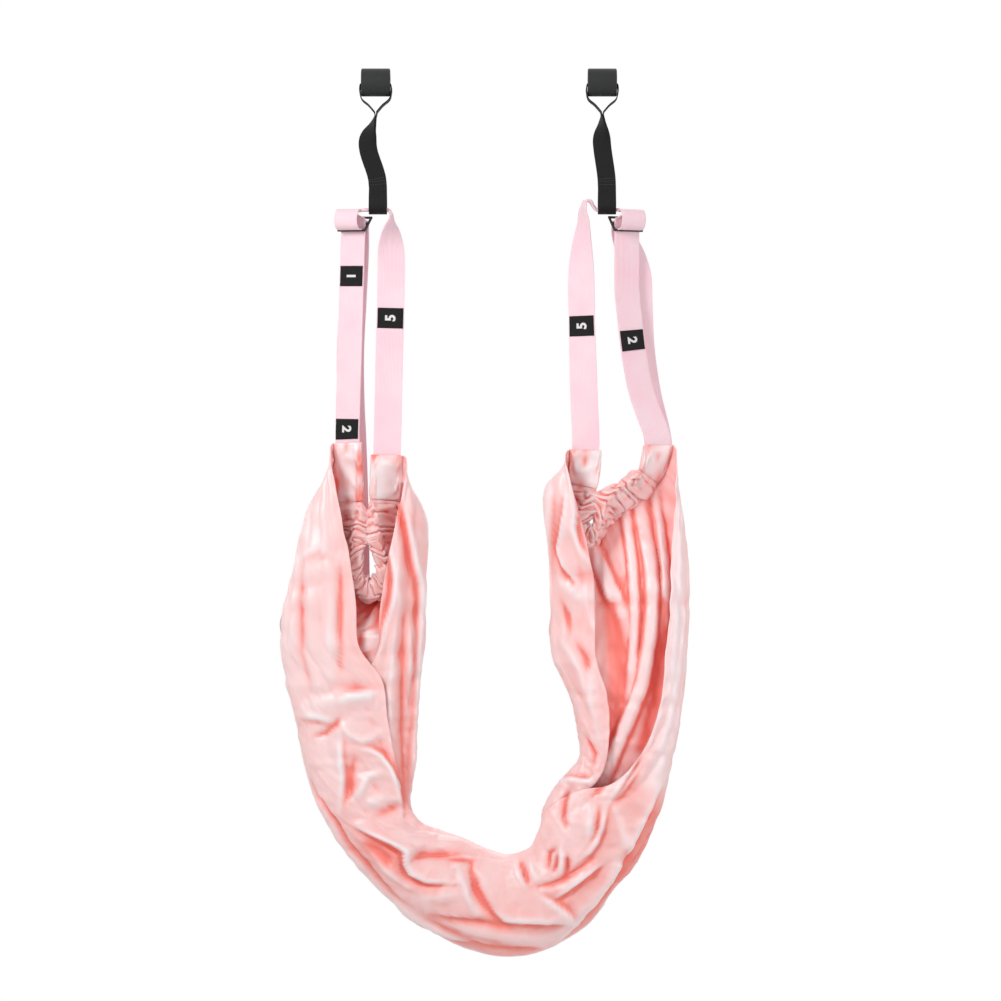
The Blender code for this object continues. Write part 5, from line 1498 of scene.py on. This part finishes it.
def sew(name, rows, body, slot, material, length=0.0026, gap=0.0011, thick=0.00055):
    """rows are pairs of a line of points and its outward directions."""
    points, faces = [], []
    for line, outward in rows:
        steps = np.linalg.norm(np.diff(line, axis=0), axis=1)
        at = np.concatenate(([0], np.cumsum(steps)))
        count = max(1, int(at[-1] / (length + gap)))
        for middle in (np.arange(count) + 0.5) * at[-1] / count:
            spot, before, after, up = (
                np.array([np.interp(where, at, column) for column in table.T])
                for where, table in ((middle, line), (middle - 0.0006, line),
                                     (middle + 0.0006, line), (middle, outward)))
            along = unit(after - before)
            side = unit(np.cross(along, up))
            up = np.cross(side, along)
            bar = (stitch_points[:, :1] * along * length + stitch_points[:, 1:2] * side * thick
                   + stitch_points[:, 2:] * up * thick)
            faces += [tuple(n + len(points) * len(stitch_points) for n in face) for face in stitch_faces]
            points.append(spot + bar)
    mesh = bpy.data.meshes.new(name)
    mesh.from_pydata(np.concatenate(points).tolist(), [], faces)
    piece = bpy.data.objects.new(name, mesh)
    scene.collection.objects.link(piece)
    mesh.shade_smooth()
    dress(piece, body, slot, material)
    return piece, len(points)


# %% Hems of the sleeves
def ring_row(route, distance, away=0.0009):
    """A row right round a tunnel."""
    near = np.array([distance - 0.0004, distance + 0.0004])
    place, _, across, face, _, _ = route.frame(near)
    _, a, b = rounded_ring(72)
    ring = (across[0] * (a * (TUNNEL_HALF_WIDTH + SLEEVE_WALL / 2 + away))[:, None]
            + face[0] * (b * (TUNNEL_HALF_DEPTH + SLEEVE_WALL / 2 + away))[:, None])
    return place[0] + ring, unit(ring)


for side, route, marks in (("left", left_route, left_marks), ("right", right_route, right_marks)):
    start, end = marks["mouth_in"], marks["mouth_out"]
    spots = (start + 0.0045, start + 0.0085, start + marks["sleeve_in"] - 0.004,
             end - marks["sleeve_out"] + 0.004, end - 0.0085, end - 0.0045)
    hem, count = sew(f"{side}_sleeve_stitches", [ring_row(route, spot) for spot in spots],
                     "sling_and_straps", "pink_satin", pink_thread)
    print(hem.name, count, "stitches")

# %% Hems of the sling, of the tails and of the black stems
edge_rows = []
for column in (3, -4):
    for wall in (1, -1):
        edge_rows.append((sheet[:, column] + outside[:, column] * wall * 0.0006, outside[:, column] * wall))
hem, count = sew("sling_hem_stitches", edge_rows, "sling_and_straps", "pink_satin", pink_thread)
print(hem.name, count, "stitches")


def cross_rows(route, distances, half, away):
    """Straight rows across a strap, on both of its faces."""
    rows = []
    for distance in distances:
        place, _, across, face, _, _ = (part[0] for part in route.frame(distance))
        for wall in (1, -1):
            line = place + across * np.linspace(-half, half, 9)[:, None] + face * away * wall
            rows.append((line, np.repeat(face[None] * wall, 9, axis=0)))
    return rows


for side, route in (("left", left_tail), ("right", right_tail)):
    spots = route.length - np.array([0.003, 0.006, 0.020, 0.023])
    sew(f"{side}_tail_stitches", cross_rows(route, spots, STRAP_WIDTH / 2 - 0.002, STRAP_THICKNESS / 2),
        f"{side}_adjuster", "pink_webbing", pink_thread)
for side, x, bow, foot in STEMS:
    stem = anchor_routes(x, bow, foot)[1]
    spots = [0.003, 0.0065, stem.length - 0.012, stem.length - 0.0085, stem.length - 0.004]
    sew(f"{side}_stem_stitches", cross_rows(stem, spots, WEB_WIDTH / 2 - 0.0015, PLY + WEB_THICKNESS / 2),
        f"{side}_hanger", "black_webbing", black_thread, length=0.0022, gap=0.0007, thick=0.0007)
